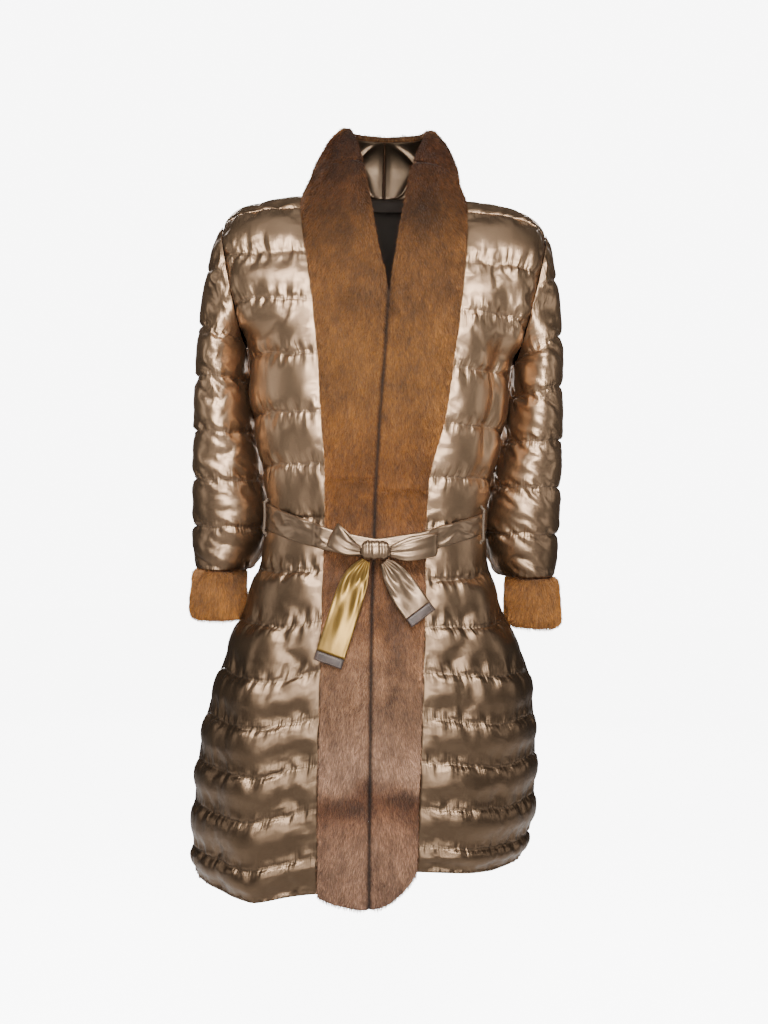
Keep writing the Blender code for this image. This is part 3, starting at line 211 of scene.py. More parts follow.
def read(table, key, column):
    """A named column of a table, read smoothly at a value of its first column."""
    keys = [row[0] for row in table]
    values = [getattr(row, column) for row in table]
    if keys[-1] < keys[0]:
        keys.reverse()
        values.reverse()
    if key <= keys[0]:
        return values[0]
    if key >= keys[-1]:
        return values[-1]
    at = max(i for i in range(len(keys) - 1) if keys[i] <= key)

    def slope(i):
        low, high = max(i - 1, 0), min(i + 1, len(keys) - 1)
        return (values[high] - values[low]) / (keys[high] - keys[low])

    span = keys[at + 1] - keys[at]
    t = (key - keys[at]) / span
    start = (1 + 2 * t) * (1 - t) ** 2 * values[at]
    end = t * t * (3 - 2 * t) * values[at + 1]
    lean = t * (1 - t) * span * ((1 - t) * slope(at) - t * slope(at + 1))
    return start + end + lean


def grid_normals(grid, outward, wrap=False):
    """Point normals of a grid, turned to the side that outward(point) gives."""
    levels, columns = len(grid), len(grid[0])
    normals = []
    for i in range(levels):
        row = []
        for j in range(columns):
            up, down = grid[max(i - 1, 0)][j], grid[min(i + 1, levels - 1)][j]
            if wrap:
                before, after = grid[i][j - 1], grid[i][(j + 1) % columns]
            else:
                before, after = grid[i][max(j - 1, 0)], grid[i][min(j + 1, columns - 1)]
            normal = (down - up).cross(after - before).normalized()
            if normal.dot(outward(grid[i][j])) < 0:
                normal = -normal
            row.append(normal)
        normals.append(row)
    return normals


def from_axis(point):
    """Direction away from the coat's upright middle line."""
    return Vector((point.x, point.y * 1.5, 0.05 if point.z < -0.09 else 0.12)).normalized()


# ---------------------------------------------------------------- the body's surface


def armpit_z(side):
    return read(ROWS, ARMPIT_ROW, side + "_side")


def armhole_x(side, z):
    return ARMHOLE_BOTTOM_X + ARMHOLE_LEAN * (z - armpit_z(side))


def armhole_half(side, z):
    """Half of the armhole's opening, front to back, at a height."""
    middle = (ARMHOLE_TOP + armpit_z(side)) / 2
    reach = (ARMHOLE_TOP - armpit_z(side)) / 2
    return ARMHOLE_DEPTH * math.sqrt(max(0.0, 1 - ((z - middle) / reach) ** 2))


def armhole_point(side, angle):
    """Point of the armhole's curve; 0 is its front, 90 degrees its top."""
    middle = (ARMHOLE_TOP + armpit_z(side)) / 2
    reach = (ARMHOLE_TOP - armpit_z(side)) / 2
    z = middle + reach * math.sin(angle)
    x = armhole_x(side, z) * SIDES[side]
    return Vector((x, -ARMHOLE_DEPTH * math.cos(angle), z))


def armhole_angle(side, z):
    middle = (ARMHOLE_TOP + armpit_z(side)) / 2
    reach = (ARMHOLE_TOP - armpit_z(side)) / 2
    return math.asin(min(max((z - middle) / reach, -1.0), 1.0))


def panel_edge(side, row):
    """Half-width, half-opening and height where a row meets the side."""
    z = read(ROWS, row, side + "_side")
    if row < ARMPIT_ROW - 0.001:
        return armhole_x(side, z), armhole_half(side, z), z
    return read(BODY, z, side), 0.0, z


def ring_y(x, z, edge_x, edge_y, face):
    """Depth of the body's ring at x, towards the front or the back."""
    share = min(abs(x) / edge_x, 1.0)
    full = (1 - share ** RING_POWER) ** (1 / RING_POWER)
    deep = read(BODY, z, face)
    return edge_y + (deep - edge_y) * full


def front_point(side, share, row):
    """Crest surface of a front, from its fur edge (0) to its side (1)."""
    edge_x, edge_y, edge_z = panel_edge(side, row)
    fur_z = read(ROWS, row, side + "_fur")
    fur_x = read(FUR_LINES, fur_z, side)
    start = math.asin((fur_x / edge_x) ** (RING_POWER / 2))
    angle = between(start, math.pi / 2, share)
    x = edge_x * math.sin(angle) ** (2 / RING_POWER)
    z = between(fur_z, edge_z, share ** 1.6)
    y = -ring_y(x, z, edge_x, edge_y, "front")
    return Vector((x * SIDES[side], y, z))


def neck_point(side, share):
    """Neckline of the back, from the centre back (0) to the shoulder seam (1)."""
    seam = front_point(side, 0.0, 0.0)
    centre = Vector((0.0, BACK_NECK_DEPTH, BACK_NECK_HEIGHT))
    angle = share * math.pi / 2
    x = abs(seam.x) * math.sin(angle) ** 0.8
    y = between(seam.y, centre.y, math.cos(angle) ** 0.9)
    z = between(seam.z, centre.z, math.cos(angle) ** 0.45)
    return Vector((x * SIDES[side], y, z))


def back_below(side, share, row):
    """Crest surface of the back below the yoke; share 0 is the centre back."""
    edge_x, edge_y, edge_z = panel_edge(side, row)
    other = "left" if side == "right" else "right"
    centre_z = (edge_z + read(ROWS, row, other + "_side")) / 2 + 0.006
    angle = share * math.pi / 2
    x = edge_x * math.sin(angle) ** (2 / RING_POWER)
    z = between(centre_z, edge_z, share ** 2)
    return Vector((x * SIDES[side], ring_y(x, z, edge_x, edge_y, "back"), z))


def back_point(side, share, row):
    """Crest surface of the back. Rows 0 to 3 are the yoke, over the shoulder."""
    if row >= YOKE_ROWS:
        return back_below(side, share, row - YOKE_ROWS + 1)
    t = row / YOKE_ROWS
    if share > 0.999:
        first = armhole_angle(side, ROWS[0].right_side)
        last = math.pi - armhole_angle(side, panel_edge(side, 1)[2])
        return armhole_point(side, between(first, last, t))
    low = back_below(side, share, 1)
    if share >= NECK_SHARE:
        along = (share - NECK_SHARE) / (1 - NECK_SHARE)
        top = front_point(side, along, 0.0)
        rise = Vector((0.0, 0.052, between(0.058, 0.018, along)))
    else:
        round_neck = share / NECK_SHARE
        top = neck_point(side, round_neck)
        rise = Vector((0.0, 0.018, between(-0.012, 0.030, round_neck ** 3)))
        rise.y += 0.030 * round_neck ** 3
    settle = Vector((0.0, -0.010, 0.046))
    steps = ((1 - t) ** 3, 3 * t * (1 - t) ** 2, 3 * t * t * (1 - t), t ** 3)
    points = (top, top + rise, low + settle, low)
    return sum((p * s for p, s in zip(points, steps)), Vector())


def fold_height(panel, share, row):
    """How far the large folds move the cloth out at a place on a panel."""
    height = 0.0
    for fold in FOLDS:
        if fold.panel != panel or not fold.row_a <= row <= fold.row_b:
            continue
        along = (row - fold.row_a) / (fold.row_b - fold.row_a)
        middle = between(fold.share_a, fold.share_b, along)
        fade = eased(4 * along) * eased(4 * (1 - along) + (fold.row_b > HEM_ROW))
        height += fold.height * fade * math.exp(-(((share - middle) / fold.width) ** 2))
    return height


def levels_between(first, last):
    """Row values from first to last with the set number of steps a channel."""
    count = round((last - first) * CHANNEL_STEPS)
    return [first + (last - first) * i / count for i in range(count + 1)]


def in_armhole_plane(side, normal):
    """A direction laid into the plane of the armhole."""
    across = Vector((SIDES[side], 0.0, -ARMHOLE_LEAN)).normalized()
    return (normal - across * normal.dot(across)).normalized()


def side_normal(side, row):
    """Outward direction that the front and the back share along the side seam."""
    low = panel_edge(side, min(row + 0.4, HEM_ROW))
    high = panel_edge(side, max(row - 0.4, ARMPIT_ROW))
    slope = (high[0] - low[0]) / (high[2] - low[2])
    return Vector((SIDES[side], 0.0, -slope)).normalized()


def seam_normal(side, share):
    """Outward direction that the front and the back share at the shoulder seam."""
    tip_side = Vector((SIDES[side] * between(0.22, 0.60, share), -0.55, 0.80))
    return tip_side.normalized()


def fur_edge_frame(side, row):
    """Point, cloth normal and direction off the cloth along a front's fur edge."""
    point = front_point(side, 0.0, row)
    across = point - front_point(side, 0.02, row)
    step = 0.05
    above = front_point(side, 0.0, max(row - step, 0.0))
    below = front_point(side, 0.0, min(row + step, HEM_ROW))
    normal = (below - above).cross(across).normalized()
    if normal.dot(from_axis(point)) < 0:
        normal = -normal
    normal = between(seam_normal(side, 0.0), normal, eased(row * 2)).normalized()
    along = (below - above).normalized()
    off = along.cross(normal).normalized()
    if off.dot(across) < 0:
        off = -off
    return point, normal, off


def back_shares():
    """Column places from the centre back to the side."""
    neck = [NECK_SHARE * j / BACK_NECK_COLUMNS for j in range(BACK_NECK_COLUMNS)]
    span = 1 - NECK_SHARE
    steps = range(BACK_SHOULDER_COLUMNS + 1)
    return neck + [NECK_SHARE + span * j / BACK_SHOULDER_COLUMNS for j in steps]


def sleeve_edge_z(side, row):
    """Height of a sleeve row at the armhole, or at the inner side below it."""
    z = read(SLEEVE, row, "z")
    pit = read(SLEEVE, SLEEVE_PIT_ROW, "z")
    if row <= SLEEVE_PIT_ROW:
        first = armhole_angle(side, SLEEVE[0].z)
        angle = between(first, -math.pi / 2, row / SLEEVE_PIT_ROW)
        return armhole_point(side, angle).z
    fade = 1 - eased((row - SLEEVE_PIT_ROW) / 2.5)
    return z + (armpit_z(side) - pit) * fade


def sleeve_point(side, turn, row):
    """Crest surface of a sleeve; turn runs from -1 through 0 (outside) to 1."""
    outer_z = read(SLEEVE, row, "z")
    outer_x = read(SLEEVE, row, "outer")
    depth = read(SLEEVE, row, "depth")
    inner_z = sleeve_edge_z(side, row)
    if row < SLEEVE_PIT_ROW - 0.001:
        half = armhole_half(side, inner_z)
        grown = eased((row - 1.0) / (SLEEVE_PIT_ROW - 1.0))
        depth = between(half + 0.0005, depth, grown)
        last = math.pi - math.asin(half / depth)
        inner_x = armhole_x(side, inner_z) + SEAM_GAP * 2
    else:
        last = math.pi
        inner_x = read(SLEEVE, row, "inner")
        pit_x = armhole_x(side, armpit_z(side)) + SEAM_GAP * 2
        inner_x = between(pit_x, inner_x, eased((row - SLEEVE_PIT_ROW) / 0.6))
    outer_x = max(outer_x, inner_x + 0.003 + 0.024 * min(row, 0.7))
    wide = (outer_x - inner_x) / (1 - math.cos(last))
    angle = turn * last
    x = outer_x - wide * (1 - math.cos(angle))
    inward = (outer_x - x) / (outer_x - inner_x)
    y = depth * math.sin(angle) + read(SLEEVE, row, "back") * eased(row / 2)
    return Vector((x * SIDES[side], y, between(outer_z, inner_z, inward)))


def sleeve_axis(side):
    """A function that points away from the sleeve's middle line."""
    def outward(point):
        rows = min(SLEEVE, key=lambda row: abs(row.z - point.z))
        middle = (rows.outer + rows.inner) / 2 * SIDES[side]
        lift = 0.03 if point.z > -0.10 else 0.0
        return Vector((point.x - middle, (point.y - rows.back) * 0.6, lift))
    return outward


def neck_normal(side, share):
    """Outward direction of the back's cloth along the neckline."""
    seam = seam_normal(side, 0.0)
    top = Vector((SIDES[side] * 0.25, 0.10, 0.95)).normalized()
    centre = Vector((0.0, 0.55, 0.83)).normalized()
    if share > 0.7:
        return between(top, seam, eased((share - 0.7) / 0.3)).normalized()
    return between(centre, top, eased(share / 0.7)).normalized()


# ---------------------------------------------------------------- cut of each panel

# A panel's cut: crest points, outward directions, fold heights, the share of the
# full channel depth, and the row and near and far shares of each grid point.
Cut = namedtuple("Cut", "points normals folds depth rows near far")


def front_cut(side):
    rows = levels_between(0, HEM_ROW)
    shares = [j / FRONT_COLUMNS for j in range(FRONT_COLUMNS + 1)]
    grid = [[front_point(side, s, r) for s in shares] for r in rows]
    normals = grid_normals(grid, from_axis)
    for i, r in enumerate(rows):
        normals[i][0] = fur_edge_frame(side, r)[1]
        if r < ARMPIT_ROW - 0.001:
            normals[i][-1] = in_armhole_plane(side, normals[i][-1])
        else:
            normals[i][-1] = side_normal(side, r)
    for j in range(0, FRONT_COLUMNS + 1, 2):
        normals[0][j] = seam_normal(side, shares[j])
    normals[0][-1] = in_armhole_plane(side, normals[0][-1])
    for line in (grid[0], normals[0]):
        for j in range(1, FRONT_COLUMNS, 2):
            line[j] = (line[j - 1] + line[j + 1]) / 2
    folds = [[fold_height("front_" + side, s, r) for s in shares] for r in rows]
    depth = [[1.0] * len(shares) for _ in rows]
    near = [shares for _ in rows]
    far = [[1 - s for s in shares] for _ in rows]
    return Cut(grid, normals, folds, depth, rows, near, far)


def back_cut():
    rows = levels_between(0, HEM_ROW + YOKE_ROWS - 1)
    shares = back_shares()
    columns = [("right", s) for s in reversed(shares[1:])]
    columns += [("left", s) for s in shares]
    grid = [[back_point(side, s, r) for side, s in columns] for r in rows]
    normals = grid_normals(grid, from_axis)
    for j, (side, s) in enumerate(columns):
        if s >= NECK_SHARE:
            normals[0][j] = seam_normal(side, (s - NECK_SHARE) / (1 - NECK_SHARE))
        else:
            normals[0][j] = neck_normal(side, s / NECK_SHARE)
    for i, r in enumerate(rows):
        body_row = r - YOKE_ROWS + 1
        for j, side in ((0, "right"), (-1, "left")):
            if body_row < ARMPIT_ROW - 0.001:
                normals[i][j] = in_armhole_plane(side, normals[i][j])
            else:
                normals[i][j] = side_normal(side, body_row)
    folds = []
    for r in rows:
        body_row = r - YOKE_ROWS + 1
        folds.append([fold_height("back_" + side, s, body_row) for side, s in columns])
    depth = [[1.0] * len(columns) for _ in rows]
    near = [[1.0] * len(columns) for _ in rows]
    far = [[1 - s for _, s in columns] for _ in rows]
    return Cut(grid, normals, folds, depth, rows, near, far)


def sleeve_cut(side):
    rows = levels_between(0, WRIST_ROW)
    turns = [-1 + 2 * j / SLEEVE_COLUMNS for j in range(SLEEVE_COLUMNS + 1)]
    grid = [[sleeve_point(side, t, r) for t in turns] for r in rows]
    normals = grid_normals(grid, sleeve_axis(side))
    inward = Vector((-SIDES[side], 0.0, 0.0))
    for i, r in enumerate(rows):
        for j in (0, -1):
            flat = in_armhole_plane(side, Vector((0.0, normals[i][j].y, normals[i][j].z)))
            turned = eased((r - 1.0) / (SLEEVE_PIT_ROW - 1.0))
            normals[i][j] = between(flat, inward, turned).normalized()
    normals[0] = [in_armhole_plane(side, Vector((0.0, n.y * 0.3, 1.0))) for n in normals[0]]
    normals[-1] = [Vector((n.x, n.y, 0.0)).normalized() for n in normals[-1]]
    depth = []
    for r in rows:
        full = between(0.25, 1.0, eased(r / 1.6))
        held = 0.7 * (1 - eased(r - 2.0))
        depth.append([full * (1 - held * eased((abs(t) - 0.4) / 0.4)) for t in turns])
    folds = [[0.0] * len(turns) for _ in rows]
    near = [[(1 + t) / 2 for t in turns] for _ in rows]
    far = [[(1 - t) / 2 for t in turns] for _ in rows]
    return Cut(grid, normals, folds, depth, rows, near, far)


# ---------------------------------------------------------------- fine cloth grids

ROW_STEPS = 7            # fine levels for each level of the cut
ACROSS = {"front": 8, "back": 7, "sleeve": 6}    # fine columns for each of the cut's
FILL_START = 0.80        # share of its full height that a channel has before filling
FILL_FRAMES = 18         # frames that the channels fill for
CLOTH_EXCESS = 0.03      # the outer cloth is cut this much larger than its start
CLOTH_SETTINGS = {
    "shrink_min": -CLOTH_EXCESS, "quality": 5, "mass": 0.3,
    "tension_stiffness": 15, "compression_stiffness": 15, "shear_stiffness": 5,
    "bending_stiffness": 0.5, "use_pressure": True, "uniform_pressure_force": 3.0,
}
FILL_OUT = 0.0045        # the filled cloth may stand this far outside the crest
INNER_STOP = 0.0022      # and this far below its stitched rows' depth
SEED = 7

# Folds that run off a stitched row, small ones close by and broad ones across: how far
# apart, how high, how broad beside a small one, least and most reach across the
# channel, and the share of the sleeve's lean that they take.
Gather = namedtuple("Gather", "pitch height broad reach lean")
GATHERS = (
    Gather(0.0085, 0.0030, 1.0, (0.25, 0.60), 1),
    Gather(0.040, 0.0022, 3.4, (0.7, 1.0), 2.2),
)
GATHER_WIDTH = 0.0026    # of a small fold where it starts
LONG_GATHERS = 0.18      # share of the folds that run nearly across a channel


def finer(values, steps, axis):
    """A grid of values read smoothly at a finer step along one axis."""
    values = np.moveaxis(np.asarray(values, float), axis, 0)
    first = 2 * values[:1] - values[1:2]
    last = 2 * values[-1:] - values[-2:-1]
    padded = np.concatenate([first, values, last])
    count = len(values)
    places = np.arange((count - 1) * steps + 1) / steps
    at = np.minimum(places.astype(int), count - 2)
    t = (places - at).reshape((-1,) + (1,) * (values.ndim - 1))
    p0, p1, p2, p3 = (padded[at + k] for k in range(4))
    read_at = p1 + 0.5 * t * (p2 - p0 + t * (2 * p0 - 5 * p1 + 4 * p2 - p3
                              + t * (3 * (p1 - p2) + p3 - p0)))
    return np.moveaxis(read_at, 0, axis)


def refined(values, across):
    return finer(finer(values, ROW_STEPS, 0), across, 1)


def unit(vectors):
    return vectors / np.maximum(np.linalg.norm(vectors, axis=-1, keepdims=True), 1e-9)


def softened(values, passes=8):
    """A grid of values with its small bumps across the cloth smoothed away."""
    values = np.array(values)
    for _ in range(passes):
        values[:, 1:-1] = (values[:, :-2] + 2 * values[:, 1:-1] + values[:, 2:]) / 4
    return values


def noise_line(places, spacing, rng):
    """Smooth noise along a line of places, with a bump about every spacing."""
    places = np.asarray(places, float)
    low = places.min()
    count = int((places.max() - low) / spacing) + 4
    knots = rng.uniform(-1.0, 1.0, count)
    at = (places - low) / spacing
    k = np.minimum(at.astype(int), count - 2)
    t = at - k
    t = t * t * (3 - 2 * t)
    return knots[k] * (1 - t) + knots[k + 1] * t


# ---------------------------------------------------------------- filled cloth panels

class Panel:
    """A quilted panel on a fine grid, with the sizes that its shape is read from."""

    def __init__(self, name, cut, across, first_body_row, seed):
        self.name = name
        side = name[7:] if name.startswith("sleeve") else None
        self.lean = SLEEVE_LEAN * SIDES[side] if side else 0.0
        self.drape = SLEEVE_DRAPE if side else BODY_DRAPE
        self.rng = np.random.default_rng(seed)
        points = np.array([[tuple(p) for p in row] for row in cut.points])
        normals = np.array([[tuple(n) for n in row] for row in cut.normals])
        self.crest = refined(points, across)
        self.normal = unit(refined(normals, across))
        self.fold = refined(cut.folds, across)
        self.dip = refined(cut.depth, across) * QUILT_DIP
        self.near = np.clip(refined(cut.near, across), 0.0, 1.0)
        self.far = np.clip(refined(cut.far, across), 0.0, 1.0)
        self.row = finer(np.array(cut.rows), ROW_STEPS, 0)[:, None] + 0 * self.near
        self.body_row = self.row + first_body_row
        steps = np.linalg.norm(np.diff(self.crest, axis=1), axis=2)
        self.across = np.concatenate([np.zeros((len(steps), 1)), np.cumsum(steps, 1)], 1)
        self.across -= self.across[:, -1:] / 2
        steps = np.linalg.norm(np.diff(self.crest, axis=0), axis=2)
        self.down = np.concatenate([np.zeros((1, steps.shape[1])), np.cumsum(steps, 0)], 0)
        self.shape = self.row.shape
        self.cloth_dip = self.dip * self.drape.dip
        if side:
            self.crest += self.resting()[..., None] * np.array([-SIDES[side], 0.0, 0.0])
        ends = [self.near, self.far] if side else [self.far]
        for end in ends:
            close = np.clip(1 - end / 0.10, 0, 1) ** 2
            below = np.clip((self.body_row - 2.4) / 0.6, 0, 1)
            self.cloth_dip *= 1 - SIDE_HELD * close * below

    def resting(self):
        """How far the inner side of a sleeve leans in behind the coat's side."""
        rows = self.row[:, 0]
        columns = ("inner", "outer", "depth", "back")
        inner, outer, depth, back = (
            np.array([read(SLEEVE, r, c) for r in rows])[:, None] for c in columns)
        wide = (outer - inner) / 2
        inward = ((outer + inner) / 2 - np.abs(self.crest[..., 0])) / wide
        behind = (self.crest[..., 1] - back) / depth
        share = np.clip((inward - 0.1) / 0.6, 0, 1)
        low = np.clip((self.row - 2.35) / 0.7, 0, 1)
        low = low * (1 - 0.3 * np.clip((self.row - 6.2) / 0.8, 0, 1))
        fullest = np.exp(-((behind - 0.35) / 0.38) ** 2)
        return SLEEVE_REST * share * share * (3 - 2 * share) * low * fullest

    def sag(self):
        """How far down each point hangs along the cloth at the folds."""
        drop = np.zeros(self.shape)
        edge = 1 - self.far
        for sag in SAGS:
            if sag.panel == self.name:
                come_in = sag.row_full - sag.row_from
                grown = np.clip((self.body_row - sag.row_from) / come_in, 0, 1)
                grown = grown * np.clip((HEM_ROW + 0.6 - self.body_row) / 0.8, 0, 1)
                if sag.row_full < 5:
                    grown = grown * np.clip((5.5 - self.body_row) / 1.5, 0, 1)
                side = np.where(edge < sag.share, edge / sag.share, (1 - edge) / (1 - sag.share))
                soft = np.sqrt(np.clip(side, 0, 1) ** 2 + 0.01) - 0.1 * (1 - np.clip(side, 0, 1))
                drop += sag.drop * grown * np.clip(soft - 0.04 * side ** 6, 0, 1)
        return drop

    def slump(self):
        """Where in a channel the down sits: low on the chest, high on the skirt."""
        lift = np.interp(self.body_row, *zip(*self.drape.slump))
        held = np.minimum(np.minimum(self.near, self.far) * 10, 1)
        return lift * held * np.sin(2 * np.pi * self.row) * self.dip / QUILT_DIP

    def inner(self):
        """The plain inner wall, cut at every second row and column."""
        height = self.fold - self.dip - STITCHED_WALL
        wall = self.crest + self.normal * height[..., None]
        return wall[::2, ::2]

    def stitched(self):
        """The levels that lie on a stitched row."""
        levels = self.row[:, 0]
        return [i for i, r in enumerate(levels) if abs(r - round(r)) < 1e-6]

    def start(self):
        """The cloth before it is filled: low channels between wavy stitched rows."""
        beside = np.abs(self.row - np.round(self.row))
        rise = np.abs(np.sin(np.pi * self.row)) ** 0.55
        ends = np.minimum(0.55 + 2.2 * self.near, 1) * np.minimum(0.60 + 2.6 * self.far, 1)
        height = self.fold - self.cloth_dip * (1 - FILL_START * rise * ends)
        height += self.gathers() * self.dip / QUILT_DIP
        points = self.crest + self.normal * height[..., None]
        tangent = unit(np.gradient(self.crest, axis=0))
        points += tangent * self.sag()[..., None]
        for i in self.stitched()[1:-1]:
            wave = noise_line(self.across[i], 0.021, self.rng) * ROW_WAVE
            wave += noise_line(self.across[i], 0.008, self.rng) * ROW_WAVE * 0.35
            hold = np.minimum(np.minimum(self.near[i], self.far[i]) * 12, 1)
            number = round(self.row[i, 0])
            close = np.exp(-((self.row - number) / 0.28) ** 2)
            points += tangent * (close * (wave * hold)[None])[..., None]
            sink = noise_line(self.across[i], 0.012, self.rng) * 0.0005
            points += self.normal * (close ** 4 * (sink * hold)[None])[..., None]
        rough = self.rng.normal(0.0, 0.00022, self.shape)
        rough[0] = rough[-1] = 0
        rough[:, 0] = rough[:, -1] = 0
        return points + self.normal * (rough * (beside > 0.01))[..., None]

    def gathers(self):
        """Height of the folds that run off the stitched rows."""
        height = np.zeros(self.shape)
        low, high = round(self.row[0, 0]), round(self.row[-1, 0])
        wide = self.across.max() - self.across.min()
        channel = np.linalg.norm(self.crest[-1, 0] - self.crest[0, 0]) / (high - low)
        for number in range(low, high + 1):
            for way in (-1, 1):
                if not low <= number + 0.5 * way <= high:
                    continue
                level = np.abs(self.row[:, 0] - number - 0.5 * way) <= 0.5
                away = (self.row[level] - number) * way
                for kind in GATHERS:
                    at = -wide / 2 - kind.pitch
                    while at < wide / 2 + kind.pitch:
                        at += kind.pitch * self.rng.uniform(0.45, 1.55)
                        one = self.one_gather(kind, away, self.across[level] - at, way * channel)
                        height[level] += one
        hold = np.minimum(np.minimum(self.near, self.far) * 14, 1)
        return height * hold

    def one_gather(self, kind, away, across, channel):
        """Height of one fold: away is from its row in channels, across from its foot."""
        reach = self.rng.uniform(*kind.reach)
        if self.rng.random() < LONG_GATHERS:
            reach = 0.95
        lean = self.rng.normal(self.lean * kind.lean, 0.22)
        width = GATHER_WIDTH * kind.broad * self.rng.uniform(0.75, 1.3)
        share = np.clip(away / reach, 0, 1)
        fade = np.minimum(share / 0.10, 1) * (1 - share) ** 1.1
        size = kind.height * self.rng.uniform(0.35, 1.0) * self.rng.choice((1, 1, -0.8))
        if kind.broad > 1:
            size *= self.drape.drag
        spread = width * (1 + 1.6 * share)
        beside = across - channel * lean * away
        return size * fade * np.exp(-np.abs(beside / spread) ** 1.7)

    def pinned(self):
        """The points that the seams and the stitched rows hold."""
        held = np.zeros(self.shape, bool)
        held[self.stitched()] = True
        held[:, 0] = held[:, -1] = True
        held[0] = held[-1] = True
        return held

    def kept_in(self, points):
        """The filled cloth, kept near its crest and off its inner wall."""
        surface = self.crest + self.normal * self.fold[..., None]
        tangent = unit(np.gradient(self.crest, axis=0))
        surface = surface + tangent * self.sag()[..., None]
        away = points - surface
        out = np.sum(away * self.normal, axis=2)
        height = out + self.slump()
        along = away - self.normal * out[..., None]
        beside = np.abs(self.row - np.round(self.row))
        loose = self.drape.calm * (1 - np.exp(-(beside / 0.24) ** 2))
        height = between(height, softened(height), loose)
        along = between(along, softened(along), loose[..., None])
        length = np.linalg.norm(along, axis=2, keepdims=True)
        along *= np.minimum(1.0, SLIDE_MOST / np.maximum(length, 1e-9))
        soft = FILL_OUT * (1 - np.exp(-np.maximum(height, 0) / FILL_OUT))
        height = np.where(height > 0, soft, np.maximum(height, -self.dip - INNER_STOP))
        return surface + along + self.normal * height[..., None]


def grid_quads(levels, columns, start=0, turned=False):
    i, j = np.meshgrid(np.arange(levels - 1), np.arange(columns - 1), indexing="ij")
    a = start + i * columns + j
    quads = np.stack([a, a + 1, a + columns + 1, a + columns], axis=-1).reshape(-1, 4)
    return quads[:, ::-1] if turned else quads


def rim_faces(levels, columns, start):
    """Faces round the rim, from the fine outer grid to the inner grid at half its step."""
    def side(fine, coarse):
        faces = []
        for k in range(len(coarse) - 1):
            a, b, c = fine[2 * k], fine[2 * k + 1], fine[2 * k + 2]
            faces.append((a, coarse[k], b))
            faces.append((b, coarse[k], coarse[k + 1], c))
        return faces

    outer = np.arange(levels * columns).reshape(levels, columns)
    low, wide = (levels + 1) // 2, (columns + 1) // 2
    inner = start + np.arange(low * wide).reshape(low, wide)
    faces = side(outer[0, ::-1], inner[0, ::-1]) + side(outer[:, 0], inner[:, 0])
    faces += side(outer[-1], inner[-1]) + side(outer[::-1, -1], inner[::-1, -1])
    return faces


def link(name, mesh, finishes):
    made = bpy.data.objects.new(name, mesh)
    bpy.context.scene.collection.objects.link(made)
    for finish in finishes:
        mesh.materials.append(finish)
    return made


def plain_mesh(name, points, faces):
    mesh = bpy.data.meshes.new(name)
    places = np.asarray(points).reshape(-1, 3).tolist()
    mesh.from_pydata(places, [], [tuple(int(v) for v in face) for face in faces])
    mesh.update()
    return mesh


def face_outward(mesh, welded=False):
    """Turns all faces outward and shades them smooth."""
    shape = bmesh.new()
    shape.from_mesh(mesh)
    if welded:
        bmesh.ops.remove_doubles(shape, verts=shape.verts, dist=1e-6)
    bmesh.ops.recalc_face_normals(shape, faces=shape.faces)
    shape.to_mesh(mesh)
    shape.free()
    mesh.shade_smooth()


def fill_channels(panels):
    """Fills the channels of all panels in one cloth simulation."""
    scene = bpy.context.scene
    scene.frame_start, scene.frame_end = 1, FILL_FRAMES
    filled = []
    for panel in panels:
        quads = grid_quads(*panel.shape, turned=panel.turned)
        cloth = link(panel.name + "_filling", plain_mesh(panel.name, panel.start(), quads), [])
        held = cloth.vertex_groups.new(name="stitched")
        held.add([int(v) for v in np.flatnonzero(panel.pinned().ravel())], 1.0, "REPLACE")
        filling = cloth.modifiers.new("filling", "CLOTH")
        for setting, value in CLOTH_SETTINGS.items():
            setattr(filling.settings, setting, value)
        filling.settings.vertex_group_mass = held.name
        filling.settings.effector_weights.gravity = 0
        filling.collision_settings.use_collision = False
        filling.point_cache.frame_start = 1
        filling.point_cache.frame_end = FILL_FRAMES
        filled.append(cloth)
    for frame_number in range(1, FILL_FRAMES + 1):
        scene.frame_set(frame_number)
    shapes = bpy.context.evaluated_depsgraph_get()
    results = []
    for panel, cloth in zip(panels, filled):
        mesh = cloth.evaluated_get(shapes).data
        flat = np.empty(len(mesh.vertices) * 3, np.float32)
        mesh.vertices.foreach_get("co", flat)
        results.append(flat.astype(float).reshape(panel.shape + (3,)))
    for cloth in filled:
        bpy.data.objects.remove(cloth)
    scene.frame_set(1)
    return results


# ---------------------------------------------------------------- node helpers

class TreeBuilder:
    """Adds nodes to a tree; keyword values are set or linked by the socket's name."""

    def __init__(self, tree):
        self.tree = tree

    def __call__(self, kind, settings=None, **values):
        node = self.tree.nodes.new(kind)
        for key, value in (settings or {}).items():
            setattr(node, key, value)
        for name, value in values.items():
            if name.isdigit():
                socket = node.inputs[int(name)]
            else:
                shown = [s for s in node.inputs if s.name == name.replace("_", " ") and s.enabled]
                socket = shown[0]
            if isinstance(value, bpy.types.NodeSocket):
                self.tree.links.new(value, socket)
            else:
                socket.default_value = value
        return Outputs(node)


class Outputs:
    """A node whose outputs are read by name, the ones in use only."""

    def __init__(self, node):
        self.node = node

    def __getitem__(self, name):
        if isinstance(name, int):
            return self.node.outputs[name]
        return [s for s in self.node.outputs if s.name == name and s.enabled][0]


def shader_group(name, inputs, outputs):
    """A shader node group with named inputs and outputs."""
    tree = bpy.data.node_groups.new(name, "ShaderNodeTree")
    kinds = {"value": "NodeSocketFloat", "colour": "NodeSocketColor", "vector": "NodeSocketVector"}
    for label, kind, default in inputs:
        socket = tree.interface.new_socket(label, in_out="INPUT", socket_type=kinds[kind])
        socket.default_value = default
    for label, kind in outputs:
        tree.interface.new_socket(label, in_out="OUTPUT", socket_type=kinds[kind])
    put = TreeBuilder(tree)
    return tree, put, put("NodeGroupInput")


